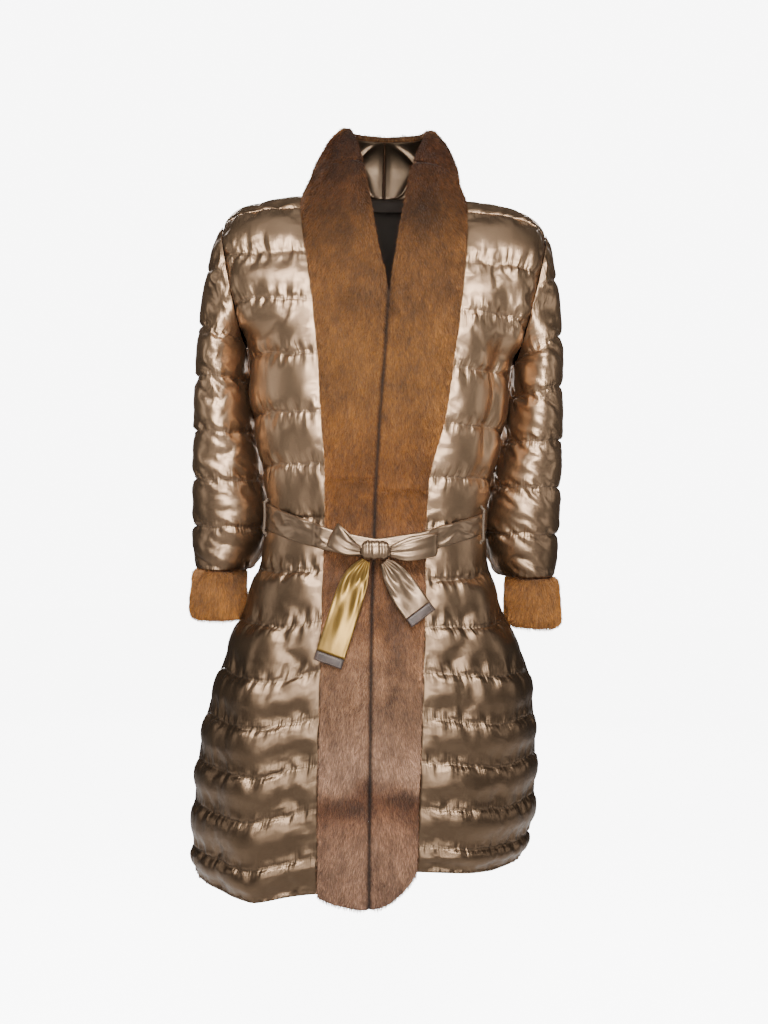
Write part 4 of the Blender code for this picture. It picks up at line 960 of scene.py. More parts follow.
def scaled(put, colour, amount):
    """A colour made lighter or darker."""
    node = put("ShaderNodeVectorMath", {"operation": "SCALE"}, **{"0": colour, "Scale": amount})
    return node["Vector"]


def soft_range(put, value, low, high, first=0.0, last=1.0):
    """A value that goes softly from first to last between low and high."""
    ends = {"From Min": low, "From Max": high, "To Min": first, "To Max": last}
    node = put("ShaderNodeMapRange", {"interpolation_type": "SMOOTHSTEP"}, Value=value, **ends)
    return node["Result"]


def feed(shader, **values):
    """Links values to a shader's sockets, by the socket's name."""
    for label, value in values.items():
        shader.id_data.links.new(value, shader.inputs[label.replace("_", " ")])


def finish(name, roughness, **plain):
    """A material, and its Principled shader with plain values on its own sockets."""
    made = bpy.data.materials.new(name)
    made.use_nodes = True
    shader = made.node_tree.nodes["Principled BSDF"]
    shader.inputs["Roughness"].default_value = roughness
    for label, value in plain.items():
        shader.inputs[label.replace("_", " ")].default_value = value
    return made, TreeBuilder(made.node_tree), shader


def ramp(put, value, stops, smooth=True):
    """Colours that follow a value, from stops of a place and a colour each."""
    node = put("ShaderNodeValToRGB", Fac=value)
    ramp_colours = node.node.color_ramp
    ramp_colours.interpolation = "EASE" if smooth else "LINEAR"
    while len(ramp_colours.elements) < len(stops):
        ramp_colours.elements.new(0.5)
    for element, (at, colour) in zip(ramp_colours.elements, stops):
        element.position = at
        element.color = (*colour, 1.0)
    return node["Color"]


def mixed(put, share, low, high):
    """A colour between two colours."""
    node = put("ShaderNodeMix", {"data_type": "RGBA"})
    for index, value in ((0, share), (6, low), (7, high)):
        socket = node.node.inputs[index]
        if isinstance(value, bpy.types.NodeSocket):
            put.tree.links.new(value, socket)
        else:
            socket.default_value = value
    return node.node.outputs[2]


def math_node(put, operation, *values, clamp=False):
    node = put("ShaderNodeMath", {"operation": operation, "use_clamp": clamp},
               **{str(i): v for i, v in enumerate(values)})
    return node["Value"]


def noise(put, vector, scale, detail=3.0, roughness=0.55):
    values = {"Scale": scale, "Detail": detail, "Roughness": roughness}
    return put("ShaderNodeTexNoise", Vector=vector, **values)["Fac"]


def stretched(put, vector, scale):
    return put("ShaderNodeMapping", Vector=vector, Scale=scale)["Vector"]


def geometry_tree(name, *sockets):
    """A Geometry Nodes tree with named sockets, and its input node."""
    tree = bpy.data.node_groups.new(name, "GeometryNodeTree")
    for label, way, kind in sockets:
        tree.interface.new_socket(label, in_out=way, socket_type="NodeSocket" + kind)
    put = TreeBuilder(tree)
    return tree, put, put("NodeGroupInput")


def grown(name, carrier, tree, values):
    """What a Geometry Nodes tree makes on a carrier, as a plain piece in its place."""
    growth = carrier.modifiers.new("growth", "NODES")
    growth.node_group = tree
    for socket in tree.interface.items_tree:
        if socket.name in values:
            growth[socket.identifier] = values[socket.name]
    shapes = bpy.context.evaluated_depsgraph_get()
    made = bpy.data.meshes.new_from_object(carrier.evaluated_get(shapes), depsgraph=shapes)
    made.name = name
    bpy.data.objects.remove(carrier)
    return link(name, made, [])


# ---------------------------------------------------------------- the fur's surface

# Free edge of the fur from the waist to the centre back of the collar. Row is the
# body row beside it; past the shoulder it counts the share round the neck.
Edge = namedtuple("Edge", "station right_x left_x y z bulge wall_out wall_in")
FREE_EDGE = (
    Edge(3.0, 0.0090, 0.0130, -0.1370, -0.1640, 0.002, 0.004, 0.010),
    Edge(4.0, 0.0030, 0.0150, -0.1290, -0.1350, 0.004, 0.004, 0.009),
    Edge(5.0, -0.0080, 0.0210, -0.1130, -0.0880, 0.009, 0.005, 0.008),
    Edge(6.0, -0.0180, 0.0290, -0.0900, -0.0300, 0.015, 0.006, 0.006),
    Edge(7.0, -0.0310, 0.0410, -0.0640, 0.0320, 0.020, 0.006, 0.006),
    Edge(8.0, -0.0500, 0.0620, -0.0280, 0.0860, 0.018, 0.006, 0.006),
    Edge(9.0, -0.0600, 0.0640, 0.0080, 0.1000, 0.015, 0.006, 0.006),
    Edge(10.0, -0.0480, 0.0500, 0.0440, 0.1060, 0.012, 0.006, 0.006),
    Edge(11.0, 0.0000, 0.0000, 0.0640, 0.1080, 0.010, 0.006, 0.006),
)
LAPEL_TOP = 7.0          # station where the lapel meets the back collar

# Body row beside each station of the fur seam.
StationRow = namedtuple("StationRow", "station row")
STATION_ROWS = (
    StationRow(3.0, 2.0),
    StationRow(4.0, 4 / 3),
    StationRow(5.0, 2 / 3),
    StationRow(6.0, 0.0),
)
WAIST_ROW = 5.25          # the seam across the fur

# Share across a strip of fur, from its seam, and share of its full height there.
STRIP = (
    (0.0, 0.10), (0.10, 0.75), (0.30, 1.0), (0.50, 1.0), (0.72, 1.0), (0.92, 0.75), (1.0, 0.0)
)
FUR_OUT = 0.004               # the fur stands this far outside the coat's ring
FUR_IN = 0.010                # and its skin lies this far inside it
FRONT_GAP = 0.0002            # from the centre front line to each fur edge
FUR_SEAM_GAP = 0.0006
HEM_DROP = {"right": 0.014, "left": 0.047}


def attached_edge(side, station):
    """Point, cloth normal and direction off the cloth along the fur's seam.

    Stations 3 to 6 run up the front from row 2 to the shoulder seam, and 6 to 11
    round the neckline to the centre back.
    """
    if station <= 6:
        return fur_edge_frame(side, read(STATION_ROWS, station, "row"))
    share = (11 - station) / 5
    point = neck_point(side, share)
    normal = neck_normal(side, share)
    ahead = neck_point(side, min(share + 0.02, 1.0)) - neck_point(side, max(share - 0.02, 0.0))
    off = ahead.cross(normal).normalized()
    middle = Vector((0.0, 0.02, point.z))
    if off.dot(middle - point) < 0:
        off = -off
    first = fur_edge_frame(side, 0.0)[2]
    off = between(first, off, eased((station - 6) / 0.6)).normalized()
    return point, normal, (off - normal * off.dot(normal)).normalized()


# A section across a strip of fur: its points from the seam to the free edge, the
# cloth's direction at the seam, and how far the fur reaches outside and inside them.
Section = namedtuple("Section", "points normal out inside")


def fur_layers(sections):
    """Outer and inner points of a strip of fur, and its outward directions."""
    grid = [section.points for section in sections]
    normals = grid_normals(grid, lambda p: Vector((p.x, p.y * 1.2, 0.10)))
    outer, inner, directions = [], [], []
    for section, n_row in zip(sections, normals):
        outer.append([])
        inner.append([])
        directions.append([])
        for (share, full), p, n in zip(STRIP, section.points, n_row):
            n = between(section.normal, n, eased(share / 0.25)).normalized()
            outer[-1].append(p + n * between(-0.001, section.out, full))
            inner[-1].append(p - n * section.inside)
            directions[-1].append(n)
    return outer, inner, directions


def lower_section(side, row, drop=0.0):
    """Section of the fur that lies on the front, level with a body row."""
    edge_x, edge_y, _ = panel_edge(side, row)
    point, normal, off = fur_edge_frame(side, row)
    start = point + off * FUR_SEAM_GAP
    free_x = read(FUR_LINES, point.z, "centre") + SIDES[side] * FRONT_GAP
    points = []
    for share, _ in STRIP:
        x = between(start.x, free_x, share)
        z = start.z - drop * math.sin(share * math.pi / 2) ** 0.8
        y = start.y
        if share > 0:
            y = -ring_y(x, z, edge_x, edge_y, "front")
        points.append(Vector((x, y, z)))
    return Section(points, normal, FUR_OUT, FUR_IN)


def upper_section(side, station):
    """Section of the lapel or collar from the seam to the free standing edge."""
    point, normal, off = attached_edge(side, station)
    free = Vector([read(FREE_EDGE, station, column) for column in (side + "_x", "y", "z")])
    start = point + off * FUR_SEAM_GAP
    across = free - start
    away = Vector((start.x + free.x, (start.y + free.y) * 1.3 - 0.02, 0.06))
    along = across.normalized()
    bow = (away - along * away.dot(along)).normalized()
    bulge = read(FREE_EDGE, station, "bulge")
    points = [start + across * q + bow * (bulge * 4 * q * (1 - q)) for q, _ in STRIP]
    walls = (read(FREE_EDGE, station, column) for column in ("wall_out", "wall_in"))
    return Section(points, normal, *walls)


def blended(low, high, share):
    """A section between two sections."""
    points = [between(a, b, share) for a, b in zip(low.points, high.points)]
    normal = between(low.normal, high.normal, share).normalized()
    out = between(low.out, high.out, share)
    return Section(points, normal, out, between(low.inside, high.inside, share))


def third_rows(first, last):
    """Rows from first to last that fall on the levels of the cloth beside them."""
    low, high = min(first, last), max(first, last)
    inside = [k / CHANNEL_STEPS for k in range(HEM_ROW * CHANNEL_STEPS)]
    rows = [low] + [r for r in inside if low + 0.1 < r < high - 0.1] + [high]
    return rows if first < last else rows[::-1]


def neck_sections(side):
    """Sections from the waist seam up the chest and round to the centre back."""
    sections = [lower_section(side, row) for row in third_rows(WAIST_ROW - 0.004, 2.0)]
    for i in range(1, 25):
        station = 3 + i / 3
        section = upper_section(side, station)
        if station < 4:
            section = blended(lower_section(side, 2.0), section, eased(station - 3))
        sections.append(section)
    return sections


# ---------------------------------------------------------------- finishes

# Painted shade on the fur, at its folds, creases and tucks: centre, reach along each axis, and how
# dark.
FUR_PAINTED_SHADES = (
    ((0.030, -0.15, -0.62), (0.022, 0.1, 0.13), 0.40),
    ((-0.030, -0.16, -0.862), (0.055, 0.1, 0.020), 0.45),
    ((0.045, -0.16, -0.850), (0.035, 0.1, 0.018), 0.45),
    ((0.055, -0.10, -0.060), (0.045, 0.1, 0.050), 0.30),
    ((-0.070, -0.08, 0.020), (0.050, 0.1, 0.040), 0.25),
    ((-0.020, -0.14, -0.470), (0.060, 0.1, 0.030), 0.20),
)
FLOOR_LIGHT = 7.9        # how bright the camera sees the pale floor and the backdrop
BACKDROP_LIGHT = 8.0
ROOM_LIGHT = 0.05        # light that the room itself gives the coat
PELT_SHADE = 0.45        # how dark the skin is beside the hair
VALLEY_SHADE_SCALE = 40        # puts the painted shade line where the fur edges meet in a ramp's range


def make_satin_group():
    """Colour and normal of satin cloth: fine ribs, loose threads and soft mottling, and painted
    shade that darkens it below the waist.
    """
    inputs = (
        ("Cloth", "colour", (0.2, 0.14, 0.09, 1)), ("Shade", "colour", (0.1, 0.07, 0.04, 1)),
        ("Ribs to a metre", "value", 1400.0), ("Rib depth", "value", 0.10),
        ("Crumple", "value", 0.3), ("Skirt", "value", 1.0),
    )
    outputs = (("Colour", "colour"), ("Normal", "vector"))
    tree, put, given = shader_group("satin_weave", inputs, outputs)
    place = put("ShaderNodeTexCoord")
    cloth_map = place["UV"]
    mottle = noise(put, place["Object"], 22.0, 4.0)
    thread = noise(put, stretched(put, cloth_map, (60.0, 1500.0, 1.0)), 1.0, 2.0)
    tint = math_node(put, "MULTIPLY_ADD", thread, 0.35, math_node(put, "MULTIPLY", mottle, 0.75))
    tint = math_node(put, "SUBTRACT", tint, 0.05, clamp=True)
    colour = mixed(put, tint, given["Shade"], given["Cloth"])
    # Painted shade: from height -0.30 down to -0.68 the colour darkens to the share that the skirt
    # value gives.
    height = put("ShaderNodeSeparateXYZ", Vector=place["Object"])["Z"]
    low = soft_range(put, height, -0.30, -0.68)
    skirt_shade_change = math_node(put, "SUBTRACT", given["Skirt"], 1.0)
    colour = scaled(put, colour, math_node(put, "MULTIPLY_ADD", low, skirt_shade_change, 1.0))
    turned = put("ShaderNodeMapping", Vector=cloth_map, Rotation=(0.0, 0.0, 0.5))["Vector"]
    ribs = put("ShaderNodeTexWave", {"wave_type": "BANDS", "bands_direction": "Y"},
               Vector=scaled(put, turned, given["Ribs to a metre"]),
               Scale=0.3, Distortion=0.6, Detail=1.0)["Fac"]
    rib_bump = put("ShaderNodeBump", Strength=given["Rib depth"], Distance=0.0002, Height=ribs)
    crumple = noise(put, place["Object"], 70.0, 3.0)
    fine = put("ShaderNodeBump", Strength=given["Crumple"], Distance=0.0012, Height=crumple,
               Normal=rib_bump["Normal"])
    held = put("ShaderNodeAttribute", {"attribute_name": "gathered"})["Fac"]
    pleats = noise(put, stretched(put, cloth_map, (150.0, 14.0, 1.0)), 1.0, 2.0, 0.6)
    small = put("ShaderNodeBump", Strength=0.7, Distance=0.0036,
                Height=math_node(put, "MULTIPLY", pleats, held), Normal=fine["Normal"])
    put("NodeGroupOutput", Colour=colour, Normal=small["Normal"])
    return tree


def make_fur_group():
    """Colour of the fur by height, from the hem up, with its tufts and streaks, painted shade at
    its folds and a painted shade line where its fronts meet.
    """
    inputs = (("Height shift", "value", 0.0), ("Light", "value", 1.0))
    outputs = (("Colour", "colour"), ("Streak", "value"))
    tree, put, given = shader_group("fur_colour", inputs, outputs)
    place = put("ShaderNodeTexCoord")["Object"]
    at = put("ShaderNodeSeparateXYZ", Vector=place)
    height = math_node(put, "ADD", at["Z"], given["Height shift"])
    wavy = math_node(put, "MULTIPLY_ADD", noise(put, place, 9.0, 2.0), 0.10, height)
    share = put("ShaderNodeMapRange", Value=wavy, **{"From Min": -1.0, "From Max": 0.17})["Result"]
    bands = (
        (0, (0.413, 0.213, 0.136)), (0.1, (0.461, 0.244, 0.142)),
        (0.165, (0.208, 0.085, 0.038)), (0.185, (0.476, 0.263, 0.158)),
        (0.28, (0.345, 0.171, 0.086)), (0.4, (0.273, 0.109, 0.038)),
        (0.52, (0.268, 0.092, 0.013)), (0.66, (0.268, 0.103, 0.018)),
        (0.8, (0.236, 0.094, 0.023)), (0.9, (0.139, 0.049, 0.012)),
        (0.955, (0.102, 0.034, 0.010)), (0.99, (0.343, 0.153, 0.053)),
    )
    colour = ramp(put, share, bands)
    broad = noise(put, place, 13.0, 3.0)
    tuft = noise(put, stretched(put, place, (95.0, 95.0, 42.0)), 1.0, 3.0, 0.65)
    streak = noise(put, stretched(put, place, (420.0, 420.0, 120.0)), 1.0, 3.0)
    light = math_node(put, "MULTIPLY_ADD", broad, 1.70, 0.10)
    light = math_node(put, "MULTIPLY", light, math_node(put, "MULTIPLY_ADD", tuft, 1.60, 0.20))
    light = math_node(put, "MULTIPLY", light, math_node(put, "MULTIPLY_ADD", streak, 1.1, 0.45))
    # Painted shade: the fur darkens round each listed place of a fold or crease.
    for centre, size, depth in FUR_PAINTED_SHADES:
        spot = put("ShaderNodeMapping", {"vector_type": "TEXTURE"}, Vector=place,
                   Location=centre, Scale=size)["Vector"]
        far = put("ShaderNodeVectorMath", {"operation": "LENGTH"}, **{"0": spot})["Value"]
        near = soft_range(put, far, 0.25, 1.0, 1.0, 0.0)
        light = math_node(put, "MULTIPLY", light, math_node(put, "MULTIPLY_ADD", near, -depth, 1.0))
    # Painted shade: a narrow dark line follows the centre line where the two fur fronts meet, from
    # the hem up to the chest.
    stops = [(line.z + 1.0, (line.centre * VALLEY_SHADE_SCALE + 0.2,) * 3)
             for line in reversed(FUR_LINES)]
    middle = ramp(put, math_node(put, "ADD", at["Z"], 1.0), stops, False)
    from_middle = math_node(put, "ADD", at["X"], 0.2 / VALLEY_SHADE_SCALE)
    aside = math_node(put, "MULTIPLY_ADD", middle, -1 / VALLEY_SHADE_SCALE, from_middle)
    valley_shade = soft_range(put, math_node(put, "ABSOLUTE", aside), 0.0, 0.0050, 0.22, 1.0)
    ends = {"From Min": -0.17, "From Max": -0.13}
    above = put("ShaderNodeMapRange", Value=at["Z"], **ends)["Result"]
    light = math_node(put, "MULTIPLY", light, math_node(put, "MAXIMUM", valley_shade, above))
    light = math_node(put, "MULTIPLY", light, given["Light"])
    put("NodeGroupOutput", Colour=scaled(put, colour, light), Streak=streak)
    return tree


def satin(name, cloth, shade, roughness, crumple, ribs=1400.0, rib_depth=0.10, skirt=1.0,
          **plain):
    """Satin in two colours; skirt is its lightness below the waist, a painted shade on the skirt.
    """
    made, put, shader = finish(name, roughness, **plain)
    group = put("ShaderNodeGroup", {"node_tree": SATIN_WEAVE}, Cloth=(*cloth, 1),
                Shade=(*shade, 1), Crumple=crumple, Ribs_to_a_metre=ribs, Rib_depth=rib_depth,
                Skirt=skirt)
    feed(shader, Base_Color=group["Colour"], Normal=group["Normal"])
    return made


def fur_finish(name, hair, shift, light):
    """The finish of hair or of the skin under it; shift moves it up the fur's colours."""
    made, put, shader = finish(name, 0.55 if hair else 0.8, Sheen_Weight=0.05,
                               Sheen_Roughness=0.5, Specular_IOR_Level=0.22)
    group = put("ShaderNodeGroup", {"node_tree": FUR_COLOUR}, Height_shift=shift, Light=light)
    if hair:
        along = put("ShaderNodeAttribute", {"attribute_name": "along"})["Fac"]
        tone = put("ShaderNodeAttribute", {"attribute_name": "tone"})["Fac"]
        tip = math_node(put, "MULTIPLY_ADD", along, 1.1, 0.45)
        amount = math_node(put, "MULTIPLY", tip, math_node(put, "MULTIPLY_ADD", tone, 0.8, 0.6))
    else:
        amount = PELT_SHADE
        nap = put("ShaderNodeBump", Strength=0.6, Distance=0.0015, Height=group["Streak"])
        feed(shader, Normal=nap["Normal"])
    feed(shader, Base_Color=scaled(put, group["Colour"], amount))
    return made


def leather_finish():
    made, put, shader = finish("tip_leather", 0.45, Specular_IOR_Level=0.35)
    place = put("ShaderNodeTexCoord")["Object"]
    grain = put("ShaderNodeTexVoronoi", {"feature": "DISTANCE_TO_EDGE"}, Vector=place,
                Scale=900.0)["Distance"]
    mottle = noise(put, place, 90.0)
    colour = ramp(put, mottle, ((0.3, (0.026, 0.016, 0.012)), (0.7, (0.055, 0.036, 0.029))))
    bump = put("ShaderNodeBump", Strength=0.35, Distance=0.0003, Height=grain)
    feed(shader, Base_Color=colour, Normal=bump["Normal"])
    return made


def thread_finish(name, colour):
    made, put, shader = finish(name, 0.6, Specular_IOR_Level=0.2)
    place = put("ShaderNodeTexCoord")["Object"]
    twist = put("ShaderNodeTexWave", {"bands_direction": "DIAGONAL"}, Vector=place,
                Scale=900.0)["Fac"]
    dark = tuple(c * 0.6 for c in colour)
    feed(shader, Base_Color=ramp(put, twist, ((0.2, dark), (0.8, colour))))
    return made


def floor_finish():
    made, put, shader = finish("studio_floor", 0.9, Emission_Color=(1.0, 1.0, 1.0, 1.0))
    place = put("ShaderNodeTexCoord")["Object"]
    shade = noise(put, place, 0.8)
    colour = ramp(put, shade, ((0.3, (0.50, 0.50, 0.50)), (0.7, (0.54, 0.54, 0.54))))
    seen = put("ShaderNodeLightPath")["Is Camera Ray"]
    feed(shader, Base_Color=colour, Emission_Strength=math_node(put, "MULTIPLY", seen, FLOOR_LIGHT))
    return made


SATIN_WEAVE = make_satin_group()
FUR_COLOUR = make_fur_group()
# The down satin's skirt value of 0.44 is painted shade that darkens the cloth below the waist.
DOWN_SATIN = satin("down_satin", cloth=(0.40, 0.260, 0.158), shade=(0.24, 0.154, 0.092),
                   roughness=0.37, crumple=0.08, skirt=0.44, Metallic=0.97)
# The inside lining is near black: its dark brown is deepened with painted shade for the coat's dark
# inside.
INSIDE_LINING_AND_SHADE = satin("inside_lining_and_shade", cloth=(0.022, 0.016, 0.012), shade=(0.012, 0.009, 0.007),
                     roughness=0.7, crumple=0.4, Specular_IOR_Level=0.1)
LINING_SATIN = satin("collar_satin", cloth=(0.125, 0.086, 0.055), shade=(0.07, 0.047, 0.03),
                     roughness=0.34, crumple=0.2, Metallic=0.92)
TAPE_SATIN = satin("tape_satin", cloth=(0.020, 0.014, 0.010), shade=(0.012, 0.008, 0.006),
                   roughness=0.6, crumple=0.2, Specular_IOR_Level=0.08)
CARRIER_CLOTH = satin("carrier_cloth", cloth=(0.085, 0.060, 0.040), shade=(0.05, 0.035, 0.024),
                      roughness=0.6, crumple=0.3, ribs=900.0, rib_depth=0.3,
                      Specular_IOR_Level=0.2)
BELT_WEAVE = satin("belt_cloth", cloth=(0.24, 0.160, 0.100), shade=(0.14, 0.093, 0.058),
                   roughness=0.34, crumple=0.35, ribs=900.0, rib_depth=0.35, Metallic=0.88)
TAIL_SATIN = satin("belt_satin", cloth=(0.27, 0.160, 0.040), shade=(0.14, 0.080, 0.018),
                   roughness=0.33, crumple=0.3, Metallic=0.8)
FUR_PELT = fur_finish("fur_pelt", hair=False, shift=0.0, light=0.60)
FUR_HAIR = fur_finish("fur_hair", hair=True, shift=0.0, light=0.60)
CUFF_PELT = fur_finish("cuff_pelt", hair=False, shift=0.36, light=0.74)
CUFF_HAIR = fur_finish("cuff_hair", hair=True, shift=0.36, light=0.74)
TIP_LEATHER = leather_finish()
CLOTH_THREAD = thread_finish("cloth_thread", (0.085, 0.060, 0.040))
TIP_THREAD = thread_finish("tip_thread", (0.18, 0.14, 0.11))


# ---------------------------------------------------------------- fur

PELT_SINK = 0.0028       # the pelt's skin lies this far under the ends of its hair
SEAM_RISE = 0.12         # share of a pelt's width in which it comes up to its seam
HAIR_LENGTH = 0.0072
EDGE_TRIM = 0.55         # share of its length that hair loses where the fur edges meet
HAIR_RADIUS = 0.00042    # at its root; its tip is a point
HAIRS = 400000           # on a square metre
HAIR_STRAY = 0.20        # how far a hair may stray from the lay, on each axis
HAIR_LIFT = 0.30         # how far the hair stands off its skin, beside its length
LAY_OUT = 0.10           # how far the lay leans away from the centre
LAY_SWAY = 0.16          # and how far it sways from place to place
LIFT_SWAY = 0.06
SECTION_STEPS = 5        # fine levels for each section of the fur
STRIP_STEPS = 5          # and fine columns across its strip
LINING_GAP = 0.0006      # from the fur's skin to the collar lining
LINING_THICK = 0.0014
CUT_SHARE = 0.14         # a pelt's end lies this far into its last section
SWELL = 0.0007           # soft unevenness of the fur, and the most it may stand out
SWELL_MOST = 0.0010

Pelt = namedtuple("Pelt", "outer inner normals")


def as_array(rows):
    return np.array([[tuple(p) for p in row] for row in rows])


def finer_grid(rows, down, across):
    return finer(finer(as_array(rows), down, 0), across, 1)


def fine_pelt(*layers):
    outer, inner, directions = (finer_grid(g, SECTION_STEPS, STRIP_STEPS) for g in layers)
    return Pelt(outer, inner, unit(directions))


def facing_pelt(side):
    waist = WAIST_ROW + 0.004
    rows = third_rows(waist, HEM_ROW)[:-1:2] + [HEM_ROW]
    sections = []
    for row in rows:
        share = (row - waist) / (HEM_ROW - waist)
        drop = HEM_DROP[side] * eased((share - 0.7) / 0.3)
        sections.append(lower_section(side, row, drop))
    return fine_pelt(*fur_layers(sections))


def neck_pelts():
    """The two lapels, the standing collar between them and the lining's halves."""
    right = neck_sections("right")
    left = neck_sections("left")
    layers = fur_layers(right + left[-2::-1])
    middle = len(right) - 1
    cut = middle - round((11 - LAPEL_TOP) * 3)
    far = len(layers[0]) - 1 - cut
    pelts = {}
    last_of_all = len(layers[0]) - 1
    spans = (("fur_lapel_right", 0, cut), ("fur_collar", cut, far),
             ("fur_lapel_left", far, last_of_all))
    for name, first, last in spans:
        parts = []
        for layer in layers:
            part = [list(row) for row in layer[first:last + 1]]
            if first:
                part[0] = [between(p, q, CUT_SHARE) for p, q in zip(part[0], part[1])]
            if last < last_of_all:
                part[-1] = [between(p, q, CUT_SHARE) for p, q in zip(part[-1], part[-2])]
            parts.append(part)
        pelts[name] = fine_pelt(*parts)
    linings = {
        "right": [layer[cut + 1:middle + 1] for layer in layers[1:]],
        "left": [layer[middle:far] for layer in layers[1:]],
    }
    return pelts, linings


def cuff_pelt(side):
    """Outer and inner points of a fur cuff, from its top down."""
    last = SLEEVE[-1]
    wide_in = (last.outer - last.inner) / 2 - QUILT_DIP - STITCHED_WALL + 0.001
    deep_in = last.depth - QUILT_DIP - STITCHED_WALL + 0.001
    middle_x = (last.outer + last.inner) / 2
    downs = np.linspace(0, 1, 25)
    shape = np.interp(downs, *zip(*CUFF_PROFILE))
    angles = np.linspace(0, 2 * np.pi, 97)[:-1]
    outer, inner, normals = [], [], []
    for down, full in zip(downs, shape):
        flare = 0.004 * down
        grow = CUFF_WALL + (QUILT_DIP + CUFF_PROUD - CUFF_WALL) * full
        shift = (0.004 + 0.003 * down) if side == "left" else 0.001 * down
        around = np.stack([np.cos(angles), np.sin(angles), 0 * angles], -1)
        size = np.array([wide_in + flare, deep_in + flare, 0.0])
        centre = np.array([
            (middle_x + shift) * SIDES[side], last.back,
            last.z - 2 * SEAM_GAP - CUFF_HEIGHT * down,
        ])
        tight = 1 - 0.55 * np.maximum(0.0, -around[:, :1] * SIDES[side])
        inner.append(centre + size * around)
        outer.append(inner[-1] + around * grow * tight)
        normals.append(around)
    return Pelt(np.array(outer), np.array(inner), np.array(normals))


def closed_shell(name, outer, inner, finishes, wrap=False):
    """A closed mesh between an outer and an inner grid of the same size."""
    levels, columns = outer.shape[:2]
    if wrap:
        outer = np.concatenate([outer, outer[:, :1]], 1)
        inner = np.concatenate([inner, inner[:, :1]], 1)
        columns += 1
    count = levels * columns
    grid = np.arange(count).reshape(levels, columns)
    quads = [grid_quads(levels, columns), grid_quads(levels, columns, count, True)]
    edges = [grid[0, ::-1], grid[-1]]
    if not wrap:
        edges += [grid[:, 0], grid[::-1, -1]]
    for edge in edges:
        a, b = edge[:-1], edge[1:]
        quads.append(np.stack([a, b, b + count, a + count], -1)[:, ::-1])
    points = np.concatenate([outer.reshape(-1, 3), inner.reshape(-1, 3)])
    faces = np.concatenate(quads)
    mesh = plain_mesh(name, points, faces)
    face_outward(mesh, wrap)
    return link(name, mesh, finishes)


def vertex_arrays(mesh):
    points = np.empty(len(mesh.vertices) * 3, np.float32)
    mesh.vertices.foreach_get("co", points)
    normals = np.empty(len(mesh.vertices) * 3, np.float32)
    mesh.vertex_normals.foreach_get("vector", normals)
    return points.reshape(-1, 3).astype(float), normals.reshape(-1, 3).astype(float)


def store(mesh, name, values):
    kind = "FLOAT_VECTOR" if values.ndim == 2 else "FLOAT"
    made = mesh.attributes.new(name, kind, "POINT")
    field = "vector" if values.ndim == 2 else "value"
    made.data.foreach_set(field, np.asarray(values, np.float32).ravel())


def drift(points, wave, seed, count=5):
    """Smooth random swell through space, of about unit height."""
    rng = np.random.default_rng(seed)
    total = np.zeros(len(points))
    for _ in range(count):
        turn = rng.normal(size=3)
        turn *= 2 * np.pi / wave / np.linalg.norm(turn) * rng.uniform(0.6, 1.5)
        total += np.sin(points @ turn + rng.uniform(0, 2 * np.pi))
    return total / math.sqrt(count)


def make_pile(name, pelt, hidden_side, free_edge, seed):
    """Hair on a pelt, made with Geometry Nodes and turned into a plain mesh."""
    carrier = pelt.copy()
    mesh = carrier.data = pelt.data.copy()
    bpy.context.scene.collection.objects.link(carrier)
    points, normals = vertex_arrays(mesh)
    down = np.array([0.0, 0.0, -1.0]) + LAY_OUT * np.sign(points[:, :1]) * np.array([1.0, 0, 0])
    sway = [drift(points, 0.05, seed), drift(points, 0.05, seed + 1), 0 * points[:, 0]]
    lay = down + LAY_SWAY * np.stack(sway, -1)
    lay = unit(lay - normals * np.sum(lay * normals, 1, keepdims=True))
    lift = HAIR_LIFT + LIFT_SWAY * drift(points, 0.03, seed + 2)
    lift = lift / (1 + np.clip(free_edge, 0, 1) - 0.4 * (free_edge > 0))
    lay = unit(lay + normals * lift[:, None])
    store(mesh, "lay", lay)
    store(mesh, "pile", 1.0 - hidden_side)
    store(mesh, "reach", 1 - EDGE_TRIM * free_edge)
    values = {"Hairs": HAIRS, "Length": HAIR_LENGTH, "Root radius": HAIR_RADIUS, "Seed": seed}
    values["Hair"] = CUFF_HAIR if "cuff" in name else FUR_HAIR
    return grown(name, carrier, FUR_PILE, values)


